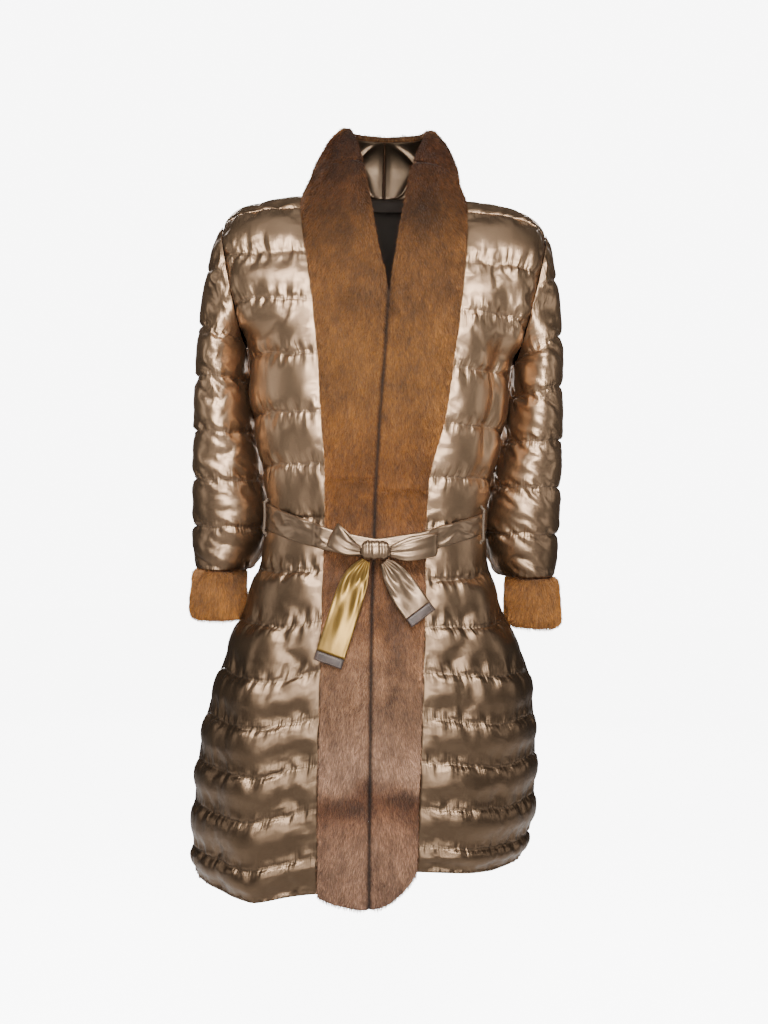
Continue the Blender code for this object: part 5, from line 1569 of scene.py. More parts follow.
def pile_tree():
    """Geometry Nodes: hairs that lie along the pelt's lay, with a random tone each."""
    tree, put, given = geometry_tree(
        "fur_pile", ("Pelt", "INPUT", "Geometry"), ("Hairs", "INPUT", "Float"),
        ("Length", "INPUT", "Float"), ("Root radius", "INPUT", "Float"), ("Seed", "INPUT", "Int"),
        ("Hair", "INPUT", "Material"), ("Pile", "OUTPUT", "Geometry"))
    pile = put("GeometryNodeInputNamedAttribute", Name="pile")["Attribute"]
    spread = put("GeometryNodeDistributePointsOnFaces", Mesh=given["Pelt"],
                 Density=math_node(put, "MULTIPLY", given["Hairs"], pile), Seed=given["Seed"])
    lay = put("GeometryNodeInputNamedAttribute", {"data_type": "FLOAT_VECTOR"}, Name="lay")
    reach = put("GeometryNodeInputNamedAttribute", Name="reach")["Attribute"]
    stray = put("FunctionNodeRandomValue", {"data_type": "FLOAT_VECTOR"},
                Min=(-HAIR_STRAY,) * 3, Max=(HAIR_STRAY,) * 3, Seed=given["Seed"])
    way = put("ShaderNodeVectorMath", {"operation": "ADD"},
              **{"0": lay["Attribute"], "1": stray["Value"]})
    turn = put("FunctionNodeAlignRotationToVector", {"axis": "Z"}, Vector=way["Vector"])
    hair = put("GeometryNodeMeshCone", {"fill_type": "NGON"}, Vertices=3,
               Radius_Top=0.0, Radius_Bottom=given["Root radius"], Depth=given["Length"])
    place = put("GeometryNodeInputPosition")
    parts = put("ShaderNodeSeparateXYZ", Vector=place["Position"])
    marked = put("GeometryNodeStoreNamedAttribute", {"data_type": "FLOAT", "domain": "POINT"},
                 Geometry=hair["Mesh"], Name="along",
                 Value=math_node(put, "DIVIDE", parts["Z"], given["Length"]))
    size = put("FunctionNodeRandomValue", {"data_type": "FLOAT"}, Min=0.55, Max=1.15, Seed=3)
    stood = put("GeometryNodeInstanceOnPoints", Points=spread["Points"],
                Instance=marked["Geometry"], Rotation=turn["Rotation"],
                Scale=math_node(put, "MULTIPLY", size["Value"], reach))
    tone = put("FunctionNodeRandomValue", {"data_type": "FLOAT"}, Min=0.0, Max=1.0, Seed=5)
    toned = put("GeometryNodeStoreNamedAttribute", {"data_type": "FLOAT", "domain": "INSTANCE"},
                Geometry=stood["Instances"], Name="tone", Value=tone["Value"])
    real = put("GeometryNodeRealizeInstances", Geometry=toned["Geometry"])
    done = put("GeometryNodeSetMaterial", Geometry=real["Geometry"], Material=given["Hair"])
    put("NodeGroupOutput", Pile=done["Geometry"])
    return tree


FUR_PILE = pile_tree()

# ---------------------------------------------------------------- sizes of the belt

# The belt round the body, from the knot (0) to the centre back (1): height of its
# middle and its width on each side.
BeltPoint = namedtuple("BeltPoint", "share z right left")
BELT_LINE = (
    BeltPoint(0.00, -0.5165, 0.027, 0.027),
    BeltPoint(0.10, -0.5075, 0.030, 0.028),
    BeltPoint(0.17, -0.4995, 0.033, 0.029),
    BeltPoint(0.28, -0.4890, 0.036, 0.029),
    BeltPoint(0.41, -0.4800, 0.039, 0.030),
    BeltPoint(0.60, -0.4740, 0.039, 0.034),
    BeltPoint(1.00, -0.4700, 0.039, 0.039),
)
CARRIER_X = {"right": 0.152, "left": 0.146}

# Rolled belt carrier: height from the belt's middle and distance off the coat.
CarrierPoint = namedtuple("CarrierPoint", "rise lift")
CARRIER_PATH = (
    CarrierPoint(0.0275, 0.0028),
    CarrierPoint(0.0240, 0.0040),
    CarrierPoint(0.0205, 0.0080),
    CarrierPoint(0.0100, 0.0083),
    CarrierPoint(-0.0100, 0.0083),
    CarrierPoint(-0.0205, 0.0080),
    CarrierPoint(-0.0240, 0.0040),
    CarrierPoint(-0.0275, 0.0028),
)

# The two hanging belt ends: middle line from the knot down, in the plane of the
# front, and how far each point stands in front of the fur.
TailPoint = namedtuple("TailPoint", "step x z out width")
TAILS = {
    "right": (
        TailPoint(0, -0.0120, -0.5326, 0.0150, 0.012),
        TailPoint(1, -0.0205, -0.5480, 0.0120, 0.028),
        TailPoint(2, -0.0290, -0.5680, 0.0080, 0.038),
        TailPoint(3, -0.0400, -0.6050, 0.0050, 0.040),
        TailPoint(4, -0.0565, -0.6600, 0.0045, 0.040),
    ),
    "left": (
        TailPoint(0, 0.0125, -0.5342, 0.0150, 0.012),
        TailPoint(1, 0.0215, -0.5440, 0.0130, 0.026),
        TailPoint(2, 0.0320, -0.5590, 0.0100, 0.036),
        TailPoint(3, 0.0455, -0.5790, 0.0070, 0.040),
        TailPoint(4, 0.0600, -0.5985, 0.0060, 0.040),
    ),
}

# Bow loops: path from the knot out and back, in front of the belt. Lean is how far
# the strip's upper edge is ahead of its lower one, towards the left.
LoopPoint = namedtuple("LoopPoint", "step x z out width lean")
LOOPS = {
    "right": (
        LoopPoint(0, -0.0192, -0.5200, 0.0062, 0.012, 0.00),
        LoopPoint(1, -0.0380, -0.5110, 0.0045, 0.027, 0.25),
        LoopPoint(2, -0.0540, -0.5015, 0.0050, 0.033, 0.42),
        LoopPoint(3, -0.0590, -0.4985, 0.0115, 0.034, 0.45),
        LoopPoint(4, -0.0540, -0.5020, 0.0185, 0.033, 0.42),
        LoopPoint(5, -0.0380, -0.5130, 0.0195, 0.025, 0.20),
        LoopPoint(6, -0.0192, -0.5190, 0.0135, 0.012, 0.00),
    ),
    "left": (
        LoopPoint(0, 0.0202, -0.5190, 0.0062, 0.012, 0.00),
        LoopPoint(1, 0.0450, -0.5140, 0.0045, 0.027, 0.05),
        LoopPoint(2, 0.0770, -0.5090, 0.0050, 0.029, 0.05),
        LoopPoint(3, 0.0840, -0.5090, 0.0110, 0.030, 0.05),
        LoopPoint(4, 0.0770, -0.5105, 0.0175, 0.031, 0.05),
        LoopPoint(5, 0.0450, -0.5180, 0.0195, 0.027, 0.05),
        LoopPoint(6, 0.0202, -0.5200, 0.0135, 0.012, 0.00),
    ),
}

# The knot: share along its width and share of its full thickness there.
KnotRing = namedtuple("KnotRing", "along full")
KNOT_RINGS = (
    KnotRing(0.00, 0.62),
    KnotRing(0.07, 0.85),
    KnotRing(0.20, 0.98),
    KnotRing(0.33, 0.90),
    KnotRing(0.50, 1.00),
    KnotRing(0.67, 0.90),
    KnotRing(0.80, 0.98),
    KnotRing(0.93, 0.83),
    KnotRing(1.00, 0.62),
)

BELT_THICK = 0.0030
BELT_CLEAR = 0.0012           # from the coat's crest to the belt's inner side
BELT_FUR_LIFT = 0.0065        # how much farther out the belt runs over the fur
BELT_FUR_FROM = 0.086         # half-widths between which it climbs on to the fur
BELT_FUR_TO = 0.072
BELT_RIPPLE = 0.0010
LOOP_THICK = 0.0022
TAIL_THICK = 0.0022
TIP_THICK = 0.0042
TIP_LENGTH = 0.0135
PIECE_GAP = 0.0006
KNOT_SIZE = Vector((0.0380, 0.0190, 0.0275))
KNOT_X = 0.0005
KNOT_Z = -0.5180
CARRIER_RADIUS = 0.0022


def ring_frame(side, angle, z):
    """Point and outward direction of the body's ring; angle 0 is the centre front."""
    wide = read(BODY, z, side)
    deep = read(BODY, z, "front" if angle <= math.pi / 2 else "back")
    across = abs(math.sin(angle)) ** (2 / RING_POWER)
    ahead = abs(math.cos(angle)) ** (2 / RING_POWER)
    facing = -1.0 if angle <= math.pi / 2 else 1.0
    point = Vector((wide * across * SIDES[side], deep * ahead * facing, z))
    away = Vector((
        SIDES[side] * across ** (RING_POWER - 1) / wide,
        facing * ahead ** (RING_POWER - 1) / deep,
        0.0,
    ))
    return point, away.normalized()


def fur_front(x, z):
    """Depth of the fur's outer surface on the front, at a place."""
    side = "right" if x < 0 else "left"
    return ring_y(x, z, read(BODY, z, side), 0.0, "front") + FUR_OUT


def belt_front(x, z):
    """Depth of the belt's outer surface near the knot."""
    lift = BELT_FUR_LIFT - FUR_OUT
    return fur_front(x, z) + lift + BELT_CLEAR + BELT_THICK + BELT_RIPPLE


# ---------------------------------------------------------------- belt, knot and bow

BELT_TURNS = 288         # fine columns round the belt
BELT_LEVELS = 23
AHEAD = np.array([0.0, -1.0, 0.0])


def folded(rise, along, seed, folds):
    """Lengthwise folds of a strip: ridges across its width that wander along it."""
    rng = np.random.default_rng(seed)
    total = np.zeros(np.broadcast(rise, along).shape)
    for k in range(folds):
        centre = (k + 0.5) / folds - 0.5 + rng.uniform(-0.5, 0.5) / folds
        wander = centre + 0.16 * np.sin(along * rng.uniform(5, 11) + rng.uniform(0, 6.3))
        width = rng.uniform(0.06, 0.12)
        height = rng.uniform(0.4, 1.0)
        swell = np.sin(along * rng.uniform(7, 15) + rng.uniform(0, 6.3))
        height = height * (0.6 + 0.4 * swell)
        total += height * np.exp(-np.abs((rise - wander) / width) ** 1.4)
    return total


def belt_band():
    turns = np.linspace(-1, 1, BELT_TURNS + 1)[:-1]
    rises = np.linspace(0.5, -0.5, BELT_LEVELS)
    outer = np.empty((BELT_LEVELS, BELT_TURNS, 3))
    inner = np.empty_like(outer)
    away_of = np.empty_like(outer)
    for j, turn in enumerate(turns):
        side = "right" if turn < 0 else "left"
        share = abs(turn)
        width = read(BELT_LINE, share, side)
        for i, rise in enumerate(rises):
            z = read(BELT_LINE, share, "z") + width * rise
            point, away = ring_frame(side, share * math.pi, z)
            near = (BELT_FUR_FROM - abs(point.x)) / (BELT_FUR_FROM - BELT_FUR_TO)
            lift = BELT_FUR_LIFT * eased(near) if share < 0.5 else 0.0
            inner[i, j] = point + away * (BELT_CLEAR + lift)
            away_of[i, j] = away
    rise, along = np.meshgrid(rises, turns, indexing="ij")
    ridges = folded(rise, along * 6, 41, 5)
    crumple = 0.35 + 0.65 * np.exp(-((np.abs(along) - 0.22) / 0.16) ** 2)
    edge = np.clip((0.5 - np.abs(rise)) / 0.08, 0, 1) ** 0.5
    height = 0.0012 + edge * (0.0012 + ridges * crumple * 0.0020)
    outer = inner + away_of * np.minimum(height, BELT_THICK + 0.0016)[..., None]
    return closed_shell("belt_band_cloth", outer, inner, [BELT_WEAVE], wrap=True)


def read_line(table, steps, columns):
    return [np.array([read(table, s, c) for s in steps]) for c in columns]


def round_edge(places, power, least):
    """Share of the full thickness across a strip whose edges are rounded."""
    return np.sqrt(np.clip(1 - (np.abs(places) * 2) ** power, least, 1))


def loop_cloth(side):
    table = LOOPS[side]
    steps = np.linspace(0, len(table) - 1, 61)
    x, z, out, width, lean = read_line(table, steps, ("x", "z", "out", "width", "lean"))
    y = np.array([-belt_front(a, b) for a, b in zip(x, z)]) - out
    middle = np.stack([x, y, z], -1)
    spread = unit(np.stack([lean, 0 * lean, 0 * lean + 1], -1)) * width[:, None]
    run = np.gradient(middle, axis=0)
    normal = unit(np.cross(run, spread))
    places = np.linspace(-0.5, 0.5, 17)
    share = steps / steps[-1]
    gather = np.abs(share * 2 - 1) ** 1.5
    rng = np.random.default_rng(51 if side == "right" else 52)
    relief = 0.0009 * gather[:, None] * np.cos(places * 17 + 0.8)[None]
    soft = np.sin(places * 7 + 6 * share[:, None] + rng.uniform(0, 6))
    relief += 0.0006 * (1 - gather[:, None]) * soft
    surface = middle[:, None] + spread[:, None] * places[None, :, None]
    surface = surface + normal[:, None] * relief[..., None]
    step = normal[:, None] * LOOP_THICK / 2 * round_edge(places, 8, 0.06)[None, :, None]
    name = "belt_loop_" + side + "_cloth"
    return closed_shell(name, surface + step, surface - step, [BELT_WEAVE])


def tail_frame(side, tip):
    """Middle line, spread and outward places of a belt end or of its tip."""
    table = TAILS[side]
    last = len(table) - 1
    if not tip:
        steps = np.linspace(0, last, 69)
        x, z, out, width = read_line(table, steps, ("x", "z", "out", "width"))
    else:
        end = np.array([table[-1].x, table[-1].z])
        before = np.array([read(table, last - 0.5, c) for c in ("x", "z")])
        run = (end - before) / np.linalg.norm(end - before)
        lengths = np.linspace(PIECE_GAP, TIP_LENGTH, 13)
        x, z = end[:, None] + run[:, None] * lengths
        out = np.full(13, table[-1].out)
        width = np.full(13, table[-1].width)
    run = unit(np.stack([np.gradient(x), 0 * x, np.gradient(z)], -1))
    spread = np.stack([-run[:, 2], 0 * x, run[:, 0]], -1) * width[:, None]
    return np.stack([x, 0 * x, z], -1), spread, out


def on_fur(middle, spread, places, out):
    """A strip laid in front of the fur, its levels as far off it as out says."""
    surface = middle[:, None] + spread[:, None] * places[None, :, None]
    for level, lift in zip(surface, out):
        for point in level:
            point[1] = -fur_front(point[0], point[2]) - lift
    return surface


def tail_cloth(side):
    """A hanging belt end, and the lines of its two sewn hems."""
    middle, spread, out = tail_frame(side, False)
    places = np.linspace(-0.5, 0.5, 21)
    share = np.linspace(0, 1, len(middle))[:, None]
    surface = on_fur(middle, spread, places, out)
    fade = np.clip(1.15 - share, 0, 1)
    gather = 0.0016 * fade ** 2 * np.cos(places * 21 + 0.6)[None]
    soft = 0.0011 * np.sin(places * 6.5 + share * (9 if side == "right" else 5))
    drag = 0.0010 * np.sin(places * 13 - share * 13) * np.sin(np.pi * share) ** 2
    held = np.clip(share * 3, 0, 1) * np.clip((1 - share) * 6, 0, 1)
    relief = gather + (soft + drag) * held
    hem = np.clip((np.abs(places) - 0.42) / 0.02, 0, 1)[None] * 0.0005
    surface = surface + AHEAD * (relief + hem)[..., None]
    step = AHEAD * TAIL_THICK / 2 * round_edge(places, 8, 0.06)[None, :, None]
    outer = surface + step
    out_of = np.broadcast_to(AHEAD, outer[:, 0].shape)
    hems = [(outer[4:-2, at], out_of[4:-2]) for at in (1, 19)]
    finishes = [TAIL_SATIN if side == "right" else BELT_WEAVE]
    return closed_shell("belt_end_" + side + "_cloth", outer, surface - step, finishes), hems


def tip_leather(side):
    """The leather tip of a belt end, and the lines that it is sewn along."""
    middle, spread, out = tail_frame(side, True)
    places = np.linspace(-0.5, 0.5, 21)
    surface = on_fur(middle, spread, places, out)
    share = np.linspace(0, 1, len(middle))
    across = np.clip(1 - (np.abs(places) * 2) ** 10, 0.05, 1)[None]
    length = np.clip(1 - np.abs(share * 2 - 1) ** 10, 0.05, 1)[:, None]
    half = TIP_THICK / 2 * np.sqrt(across * length)
    line = np.minimum(np.abs(np.abs(places)[None] - 0.41) * 0.04,
                      np.abs(np.abs(share * 2 - 1) - 0.72)[:, None] * TIP_LENGTH / 2)
    groove = 0.0004 * np.exp(-(line / 0.0006) ** 2)
    step = AHEAD * half[..., None]
    outer = surface + step - AHEAD * groove[..., None]
    front = np.broadcast_to(AHEAD, outer.shape)
    sides = [(outer[2:-2, at], front[2:-2, at]) for at in (2, 18)]
    ends = [(outer[at, 2:-2], front[at, 2:-2]) for at in (2, 10)]
    made = closed_shell("belt_tip_" + side + "_leather", outer, surface - step, [TIP_LEATHER])
    return made, sides + ends


def knot_cloth():
    """The wrap of the knot: a plump roll with folds that run up and over it."""
    back_y = -belt_front(0.0, KNOT_Z) - PIECE_GAP
    along = np.linspace(0, 1, 49)[:, None]
    angle = np.linspace(0, 2 * np.pi, 73)[None, :-1]
    full = np.interp(along, *zip(*KNOT_RINGS))
    folds = 0.035 * np.sin(along * 34 + np.sin(angle) * 1.2) + 0.03 * np.sin(along * 15 - angle)
    full = full * (0.965 + folds * np.sin(np.pi * along))
    y = np.sign(np.cos(angle)) * np.abs(np.cos(angle)) ** 0.8
    z = np.sign(np.sin(angle)) * np.abs(np.sin(angle)) ** 0.8
    outer = np.stack([
        KNOT_X + KNOT_SIZE.x * (along - 0.5) * (1 - 0.05 * z ** 2),
        back_y - KNOT_SIZE.y / 2 * (1 + y * full),
        KNOT_Z + KNOT_SIZE.z / 2 * z * full,
    ], -1)
    return capped("belt_knot_cloth", outer, [BELT_WEAVE])


def capped(name, rings, finishes):
    """A closed tube of rings with its two ends drawn in to a point."""
    for at in (0, -1):
        centre = rings[at].mean(axis=0)
        inward = (centre + (rings[at] - centre) * 0.45)[None]
        rings = np.concatenate([inward, rings] if at == 0 else [rings, inward])
    levels, columns = rings.shape[:2]
    grid = np.arange(levels * columns).reshape(levels, columns)
    faces = []
    for i in range(levels - 1):
        for j in range(columns):
            k = (j + 1) % columns
            faces.append((grid[i, j], grid[i, k], grid[i + 1, k], grid[i + 1, j]))
    centres = [rings[0].mean(axis=0), rings[-1].mean(axis=0)]
    points = np.concatenate([rings.reshape(-1, 3), centres])
    for j in range(columns):
        k = (j + 1) % columns
        faces.append((grid[0, k], grid[0, j], len(points) - 2))
        faces.append((grid[-1, j], grid[-1, k], len(points) - 1))
    mesh = plain_mesh(name, points, faces)
    face_outward(mesh)
    return link(name, mesh, finishes)


def carrier_cord(side):
    """A rolled loop of cloth that holds the belt at the side."""
    share = math.asin((CARRIER_X[side] / read(BODY, -0.48, side)) ** (RING_POWER / 2))
    belt_z = read(BELT_LINE, share / math.pi, "z")
    middle, outs = [], []
    for place in CARRIER_PATH:
        point, away = ring_frame(side, share, belt_z + place.rise)
        middle.append(tuple(point + away * place.lift))
        outs.append(tuple(away))
    middle = finer(np.array(middle), 8, 0)
    outs = unit(finer(np.array(outs), 8, 0))
    run = unit(np.gradient(middle, axis=0))
    across = unit(np.cross(run, outs))
    up = unit(np.cross(across, run))
    angle = np.linspace(0, 2 * np.pi, 17)[:-1]
    twist = 1 + 0.06 * np.sin(angle[None] * 2 + np.linspace(0, 40, len(middle))[:, None])
    ring = across[:, None] * np.cos(angle)[:, None] + up[:, None] * np.sin(angle)[:, None]
    rings = middle[:, None] + ring * (CARRIER_RADIUS * 0.95 * twist)[..., None]
    return capped("belt_carrier_" + side + "_cloth", rings, [CARRIER_CLOTH])


# ---------------------------------------------------------------- collar lining and tape

TAPE_ROWS = ((0.0095, 0.0), (0.0140, 0.1), (0.0140, 0.55), (0.0140, 1.0))
TAPE_HEIGHT = 0.0170
TAPE_OFF, TAPE_END_OFF = 0.0026, 0.0075
TAPE_REACH = 0.62
LINING_CUT = 0.04


def lining_half(side, skin, directions):
    layers = []
    for depth in (LINING_GAP, LINING_GAP + LINING_THICK):
        layers.append([[p - n * depth for p, n in zip(p_row[:-1], n_row[:-1])]
                       for p_row, n_row in zip(skin, directions)])
    for layer in layers:
        at, step = (-1, -2) if side == "right" else (0, 1)
        layer[at] = [between(p, q, LINING_CUT) for p, q in zip(layer[at], layer[step])]
        for row in layer:
            row[0] = between(row[0], row[1], 0.15)
    near, far = [finer_grid(g, 7, 8) for g in layers]
    inward = unit(far - near)
    levels, columns = near.shape[:2]
    s = np.linspace(0, 1, levels)[:, None] + 0 * near[..., 0]
    centre = 1 - s if side == "right" else s          # 0 at the centre back seam
    across = np.linspace(0, 1, columns)[None] + 0 * s
    fade = np.sin(np.pi * np.clip(across * 0.9 + 0.1, 0, 1)) ** 0.6
    creases = 0
    for start, slope, width, height in COLLAR_CREASES[side]:
        line = centre - start - slope * across
        creases = creases + height * np.exp(-np.abs(line / width) ** 1.3) * fade
    seam = 0.0012 * (1 - np.exp(-(centre / 0.03) ** 2))
    edge = np.minimum(np.minimum(across, 1 - across) * 10, np.minimum(s, 1 - s) * 14)
    relief = creases * np.clip(edge, 0, 1) + seam * np.clip(across * 9, 0, 1)
    return closed_shell("collar_lining_" + side + "_satin", far + inward * relief[..., None],
                        near + inward * relief[..., None] * 0.8, [LINING_SATIN])


# Creases of the lining: place along the collar from the centre seam, lean, width, height.
COLLAR_CREASES = {
    "right": (
        (0.04, 0.30, 0.022, 0.0040), (0.16, 0.85, 0.030, 0.0075), (0.52, -0.45, 0.026, 0.0055),
        (0.50, 0.55, 0.034, 0.0065), (0.80, 0.10, 0.040, 0.0050),
    ),
    "left": (
        (0.05, 0.45, 0.020, 0.0045), (0.14, 0.95, 0.028, 0.0080), (0.60, -0.55, 0.028, 0.0055),
        (0.42, 0.75, 0.034, 0.0070), (0.80, 0.20, 0.040, 0.0050),
    ),
}


def neck_tape():
    shares = [TAPE_REACH * k / 8 for k in range(9)]
    columns = [("right", s) for s in reversed(shares[1:])] + [("left", s) for s in shares]
    layers = []
    for depth in (0.0, LINING_THICK):
        grid = []
        for below, down in TAPE_ROWS:
            row = []
            for side, s in columns:
                point, normal, off = attached_edge(side, 11 - 5 * s)
                hang = normal * below + Vector((0.0, 0.0, TAPE_HEIGHT * down))
                clear = between(TAPE_OFF, TAPE_END_OFF, s / TAPE_REACH)
                row.append(point + off * (clear + depth) - hang)
            grid.append(row)
        layers.append(finer_grid(grid, 4, 5))
    return closed_shell("neck_tape_satin", layers[0], layers[1], [TAPE_SATIN])


# ---------------------------------------------------------------- stitches

STITCH_LENGTH = 0.0026
STITCH_PITCH = 0.0036
STITCH_RADIUS = 0.00028
STITCH_LIFT = 0.00012


def stitch_tree():
    """Geometry Nodes: one short thread at each point, along its run."""
    tree, put, given = geometry_tree(
        "stitches", ("Seam", "INPUT", "Geometry"), ("Length", "INPUT", "Float"),
        ("Radius", "INPUT", "Float"), ("Thread", "INPUT", "Material"),
        ("Stitches", "OUTPUT", "Geometry"))
    run = put("GeometryNodeInputNamedAttribute", {"data_type": "FLOAT_VECTOR"}, Name="run")
    turn = put("FunctionNodeAlignRotationToVector", {"axis": "Z"}, Vector=run["Attribute"])
    thread = put("GeometryNodeMeshCylinder", {"fill_type": "NGON"}, Vertices=4,
                 Radius=given["Radius"], Depth=given["Length"])
    stood = put("GeometryNodeInstanceOnPoints", Points=given["Seam"], Instance=thread["Mesh"],
                Rotation=turn["Rotation"])
    real = put("GeometryNodeRealizeInstances", Geometry=stood["Instances"])
    done = put("GeometryNodeSetMaterial", Geometry=real["Geometry"], Material=given["Thread"])
    put("NodeGroupOutput", Stitches=done["Geometry"])
    return tree


STITCHES = stitch_tree()


def read_along(values, at, marks):
    """Points or directions of a line, read at marks along its length."""
    return np.stack([np.interp(marks, at, values[:, k]) for k in range(3)], -1)


def sewn(name, lines, thread, pitch=STITCH_PITCH, length=STITCH_LENGTH):
    """Stitches along lines of points; a line carries its points and outward directions."""
    places, runs = [], []
    for points, outward in lines:
        steps = np.linalg.norm(np.diff(points, axis=0), axis=1)
        at = np.concatenate([[0], np.cumsum(steps)])
        count = max(int(at[-1] / pitch), 1)
        marks = (np.arange(count) + 0.5) * at[-1] / count
        out = read_along(outward, at, marks)
        places.append(read_along(points, at, marks) + out * STITCH_LIFT)
        ahead = read_along(points, at, marks + pitch / 3)
        runs.append(unit(ahead - read_along(points, at, marks - pitch / 3)))
    seam = link(name + "_seam", plain_mesh(name, np.concatenate(places), []), [])
    store(seam.data, "run", np.concatenate(runs))
    values = {"Length": length, "Radius": STITCH_RADIUS, "Thread": thread}
    return grown(name, seam, STITCHES, values)


# ---------------------------------------------------------------- making the coat

def settled(piece, slot, *nodes):
    """The piece rides on the coat and stands for nodes; slot is not used."""
    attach(piece, "root")
    if nodes:
        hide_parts(*nodes)
    return piece


def make_panels():
    panels = []
    for side in ("right", "left"):
        panels.append(Panel("front_" + side, front_cut(side), ACROSS["front"], 0, SEED))
        panels.append(Panel("sleeve_" + side, sleeve_cut(side), ACROSS["sleeve"], 0, SEED + 1))
    panels.append(Panel("back", back_cut(), ACROSS["back"], 1 - YOKE_ROWS, SEED + 2))
    for panel in panels:
        i, j = panel.shape[0] // 2, panel.shape[1] // 2
        ahead = panel.crest[i, j + 1] - panel.crest[i, j]
        below = panel.crest[i + 1, j] - panel.crest[i, j]
        panel.turned = bool(np.dot(np.cross(ahead, below), panel.normal[i, j]) < 0)
    filled = fill_channels(panels)
    for panel, points in zip(panels, filled):
        make_panel(panel, points)


def make_panel(panel, points):
    outer = panel.kept_in(points)
    inner = panel.inner()
    levels, columns = panel.shape
    count = levels * columns
    quads = [tuple(q) for q in grid_quads(levels, columns)]
    quads += [tuple(q) for q in grid_quads(*inner.shape[:2], start=count, turned=True)]
    quads += rim_faces(levels, columns, count)
    corners = np.concatenate([outer.reshape(-1, 3), inner.reshape(-1, 3)])
    mesh = plain_mesh(panel.name, corners, quads)
    face_outward(mesh)
    flat = np.stack([panel.across, panel.down], -1)
    places = np.concatenate([flat.reshape(-1, 2), flat[::2, ::2].reshape(-1, 2)])
    corner_points = np.empty(len(mesh.loops), np.int32)
    mesh.loops.foreach_get("vertex_index", corner_points)
    cloth_map = mesh.uv_layers.new(name="cloth")
    cloth_map.data.foreach_set("uv", places[corner_points].astype(np.float32).ravel())
    made = link(panel.name + "_cloth", mesh, [DOWN_SATIN, INSIDE_LINING_AND_SHADE])
    inside = np.zeros(len(mesh.polygons), np.int32)
    for face in mesh.polygons:
        if min(face.vertices) >= count:
            inside[face.index] = 1
    mesh.polygons.foreach_set("material_index", inside)
    beside = np.abs(panel.row - np.round(panel.row))
    close = np.exp(-(beside / 0.16) ** 1.5)
    store(mesh, "gathered", np.concatenate([close.ravel(), np.zeros(len(corners) - count)]))
    settled(made, "down_cloth", panel.name)
    lines = []
    for i in panel.stitched()[1:-1]:
        lines.append((outer[i, 1:-1], panel.normal[i, 1:-1]))
    settled(sewn(panel.name + "_stitches", lines, CLOTH_THREAD), "down_cloth")


def make_furs():
    pelts, linings = neck_pelts()
    for side in ("right", "left"):
        pelts["fur_facing_" + side] = facing_pelt(side)
        pelts["cuff_" + side] = cuff_pelt(side)
    for seed, (name, pelt) in enumerate(sorted(pelts.items())):
        is_cuff = name.startswith("cuff")
        columns = pelt.outer.shape[1]
        sink = np.full(columns, PELT_SINK)
        if not is_cuff:
            sink *= np.clip(np.arange(columns) / (columns - 1) / SEAM_RISE, 0, 1)
        outer = pelt.outer - pelt.normals * sink[None, :, None]
        flat = outer.reshape(-1, 3)
        swell = SWELL * drift(flat, 0.05, 90 + seed).reshape(outer.shape[:2])
        outer = outer + pelt.normals * np.minimum(swell, SWELL_MOST)[..., None]
        skin = CUFF_PELT if is_cuff else FUR_PELT
        made = closed_shell(name + "_pelt", outer, pelt.inner, [skin], wrap=is_cuff)
        settled(made, "fur", name)
        hidden, free_edge = skin_side(made.data, pelt, name)
        settled(make_pile(name + "_pile", made, hidden, free_edge, 11 * seed + 5), "fur")
    return linings


def skin_side(mesh, pelt, name):
    """Where a pelt's skin side is, and where the edges that meet at the front are."""
    points, _ = vertex_arrays(mesh)
    count = pelt.outer.shape[0] * pelt.outer.shape[1]
    hidden, edge = np.zeros(len(points)), np.zeros(len(points))
    if name.startswith("cuff"):
        tree = kd_tree(pelt.inner.reshape(-1, 3))
        near = np.array([tree.find(p)[2] for p in points])
        return (near < 1e-5).astype(float), edge
    inner = hidden[count:].reshape(pelt.inner.shape[:2])
    inner[:, :-3] = 1.0
    columns = pelt.outer.shape[1]
    across = np.clip((np.arange(columns) / (columns - 1) - 0.74) / 0.22, 0, 1)
    low = np.clip((-0.18 - points[:, 2]) / 0.1, 0, 1)
    return hidden, np.tile(across, len(points) // columns) * low


def kd_tree(points):
    tree = KDTree(len(points))
    for i, p in enumerate(points):
        tree.insert(p, i)
    tree.balance()
    return tree


def make_belt():
    band = settled(belt_band(), "belt_cloth", "belt_band")
    settled(knot_cloth(), "belt_cloth", "belt_knot")
    for side in ("right", "left"):
        loop = settled(loop_cloth(side), "belt_cloth", "belt_loop_" + side)
        slot = "belt_satin" if side == "right" else "belt_cloth"
        tail, hems = tail_cloth(side)
        tip, edges = tip_leather(side)
        settled(tail, slot, "belt_end_" + side)
        settled(tip, "tip_leather", "belt_tip_" + side)
        settled(sewn("belt_end_" + side + "_stitches", hems, CLOTH_THREAD), slot)
        edging = sewn("belt_tip_" + side + "_stitches", edges, TIP_THREAD, 0.0026, 0.0018)
        settled(edging, "tip_leather")
        settled(carrier_cord(side), "belt_cloth", "belt_carrier_" + side)


def make_collar_inside(linings):
    for side in ("right", "left"):
        skin, directions = linings[side]
        half = lining_half(side, skin, directions)
        settled(half, "collar_lining", "collar_lining_" + side)
    tape = settled(neck_tape(), "collar_lining", "neck_tape")


# ---------------------------------------------------------------- studio

FLOOR_Z = -1.30
FLOOR_REACH = 6.0
PHOTO_HEIGHT = 1024           # in pixels; the lens shifts were measured in them


def studio_light(name, place, size, power, aim_z=-0.48, spread=180.0):
    """A soft light that looks at a height on the coat's middle line."""
    light = bpy.data.lights.new(name, "AREA")
    light.shape = "RECTANGLE"
    light.size, light.size_y = size
    light.energy = power
    light.spread = math.radians(spread)
    made = bpy.data.objects.new(name, light)
    made.location = place
    aim = Vector((0.0, 0.0, aim_z)) - Vector(place)
    made.rotation_euler = aim.to_track_quat("-Z", "Y").to_euler()
    made.visible_camera = False
    bpy.context.scene.collection.objects.link(made)


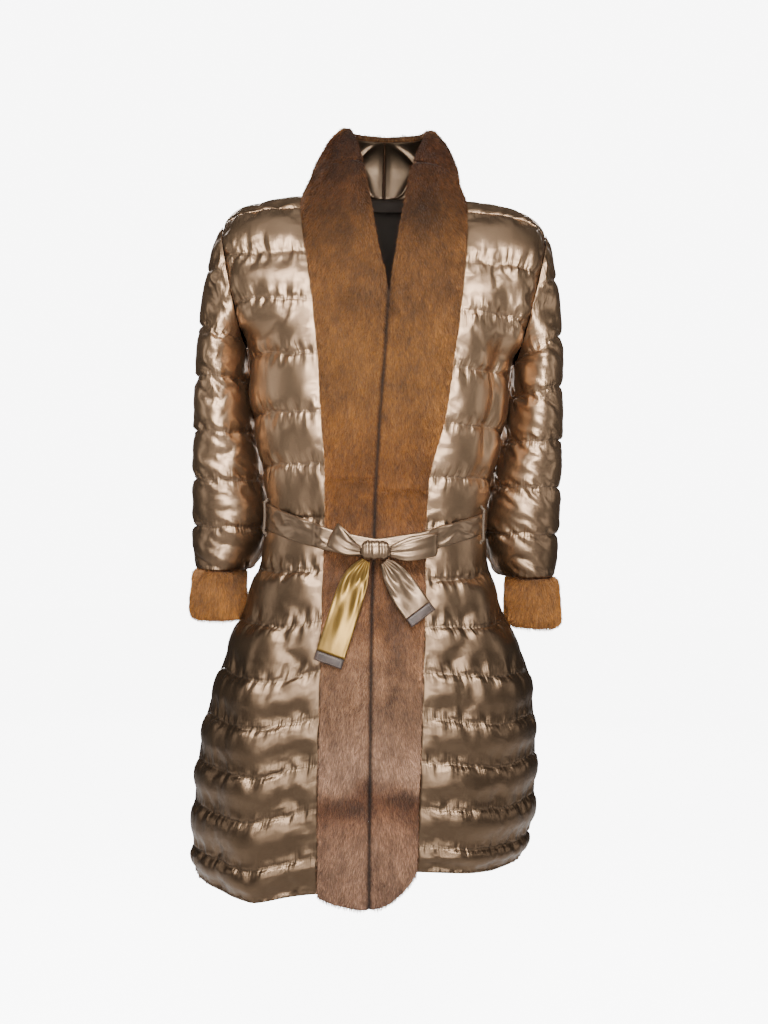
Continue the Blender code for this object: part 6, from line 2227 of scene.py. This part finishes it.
def make_studio():
    angle = np.linspace(0, 2 * np.pi, 97)[:-1]
    around = np.stack([np.cos(angle), np.sin(angle), 0 * angle], -1)
    ring = around * FLOOR_REACH + np.array([0.0, 0.0, FLOOR_Z])
    mesh = plain_mesh("studio_floor", ring, [range(len(ring))])
    floor = link("studio_floor", mesh, [floor_finish()])
    studio_light("chest_front", (0.1, -2.0, -0.42), (1.8, 0.50), 5.2, aim_z=-0.30, spread=38.0)
    studio_light("skirt_front", (0.0, -1.35, 0.62), (2.2, 0.50), 20, aim_z=-0.85, spread=70.0)
    studio_light("even_front", (0.0, -2.4, -0.40), (2.4, 1.10), 41)
    studio_light("side_right", (-2.2, -0.3, -0.3), (0.5, 1.2), 5)
    studio_light("side_left", (2.2, -0.3, -0.3), (0.5, 1.2), 5)
    studio_light("chest_back", (-0.1, 2.0, -0.42), (1.8, 0.50), 2.6, aim_z=-0.30, spread=38.0)
    studio_light("skirt_back", (0.0, 1.35, 0.62), (2.2, 0.50), 19, aim_z=-0.85, spread=70.0)
    studio_light("even_back", (0.0, 2.4, -0.40), (2.4, 1.10), 27)
    studio_light("top", (0.0, -0.3, 1.8), (1.6, 1.2), 6)
    world = bpy.data.worlds.new("studio")
    world.use_nodes = True
    put = TreeBuilder(world.node_tree)
    seen = put("ShaderNodeLightPath")["Is Camera Ray"]
    strength = math_node(put, "MULTIPLY_ADD", seen, BACKDROP_LIGHT, ROOM_LIGHT)
    shade = world.node_tree.nodes["Background"]
    shade.inputs["Color"].default_value = (1.0, 1.0, 1.0, 1.0)
    world.node_tree.links.new(strength, shade.inputs["Strength"])
    bpy.context.scene.world = world


def make_camera():
    lens = bpy.data.cameras.new("photo_view")
    lens.lens = 36.8
    lens.sensor_width = 36.0
    lens.shift_x = 7.5 / PHOTO_HEIGHT
    lens.shift_y = -22 / PHOTO_HEIGHT
    made = bpy.data.objects.new("photo_view", lens)
    made.location = (0.0, -1.55, -0.437)
    made.rotation_euler = (math.radians(90), math.radians(-1.4), 0.0)
    bpy.context.scene.collection.objects.link(made)
    bpy.context.scene.camera = made


make_camera()
make_studio()
make_panels()
make_collar_inside(make_furs())
make_belt()
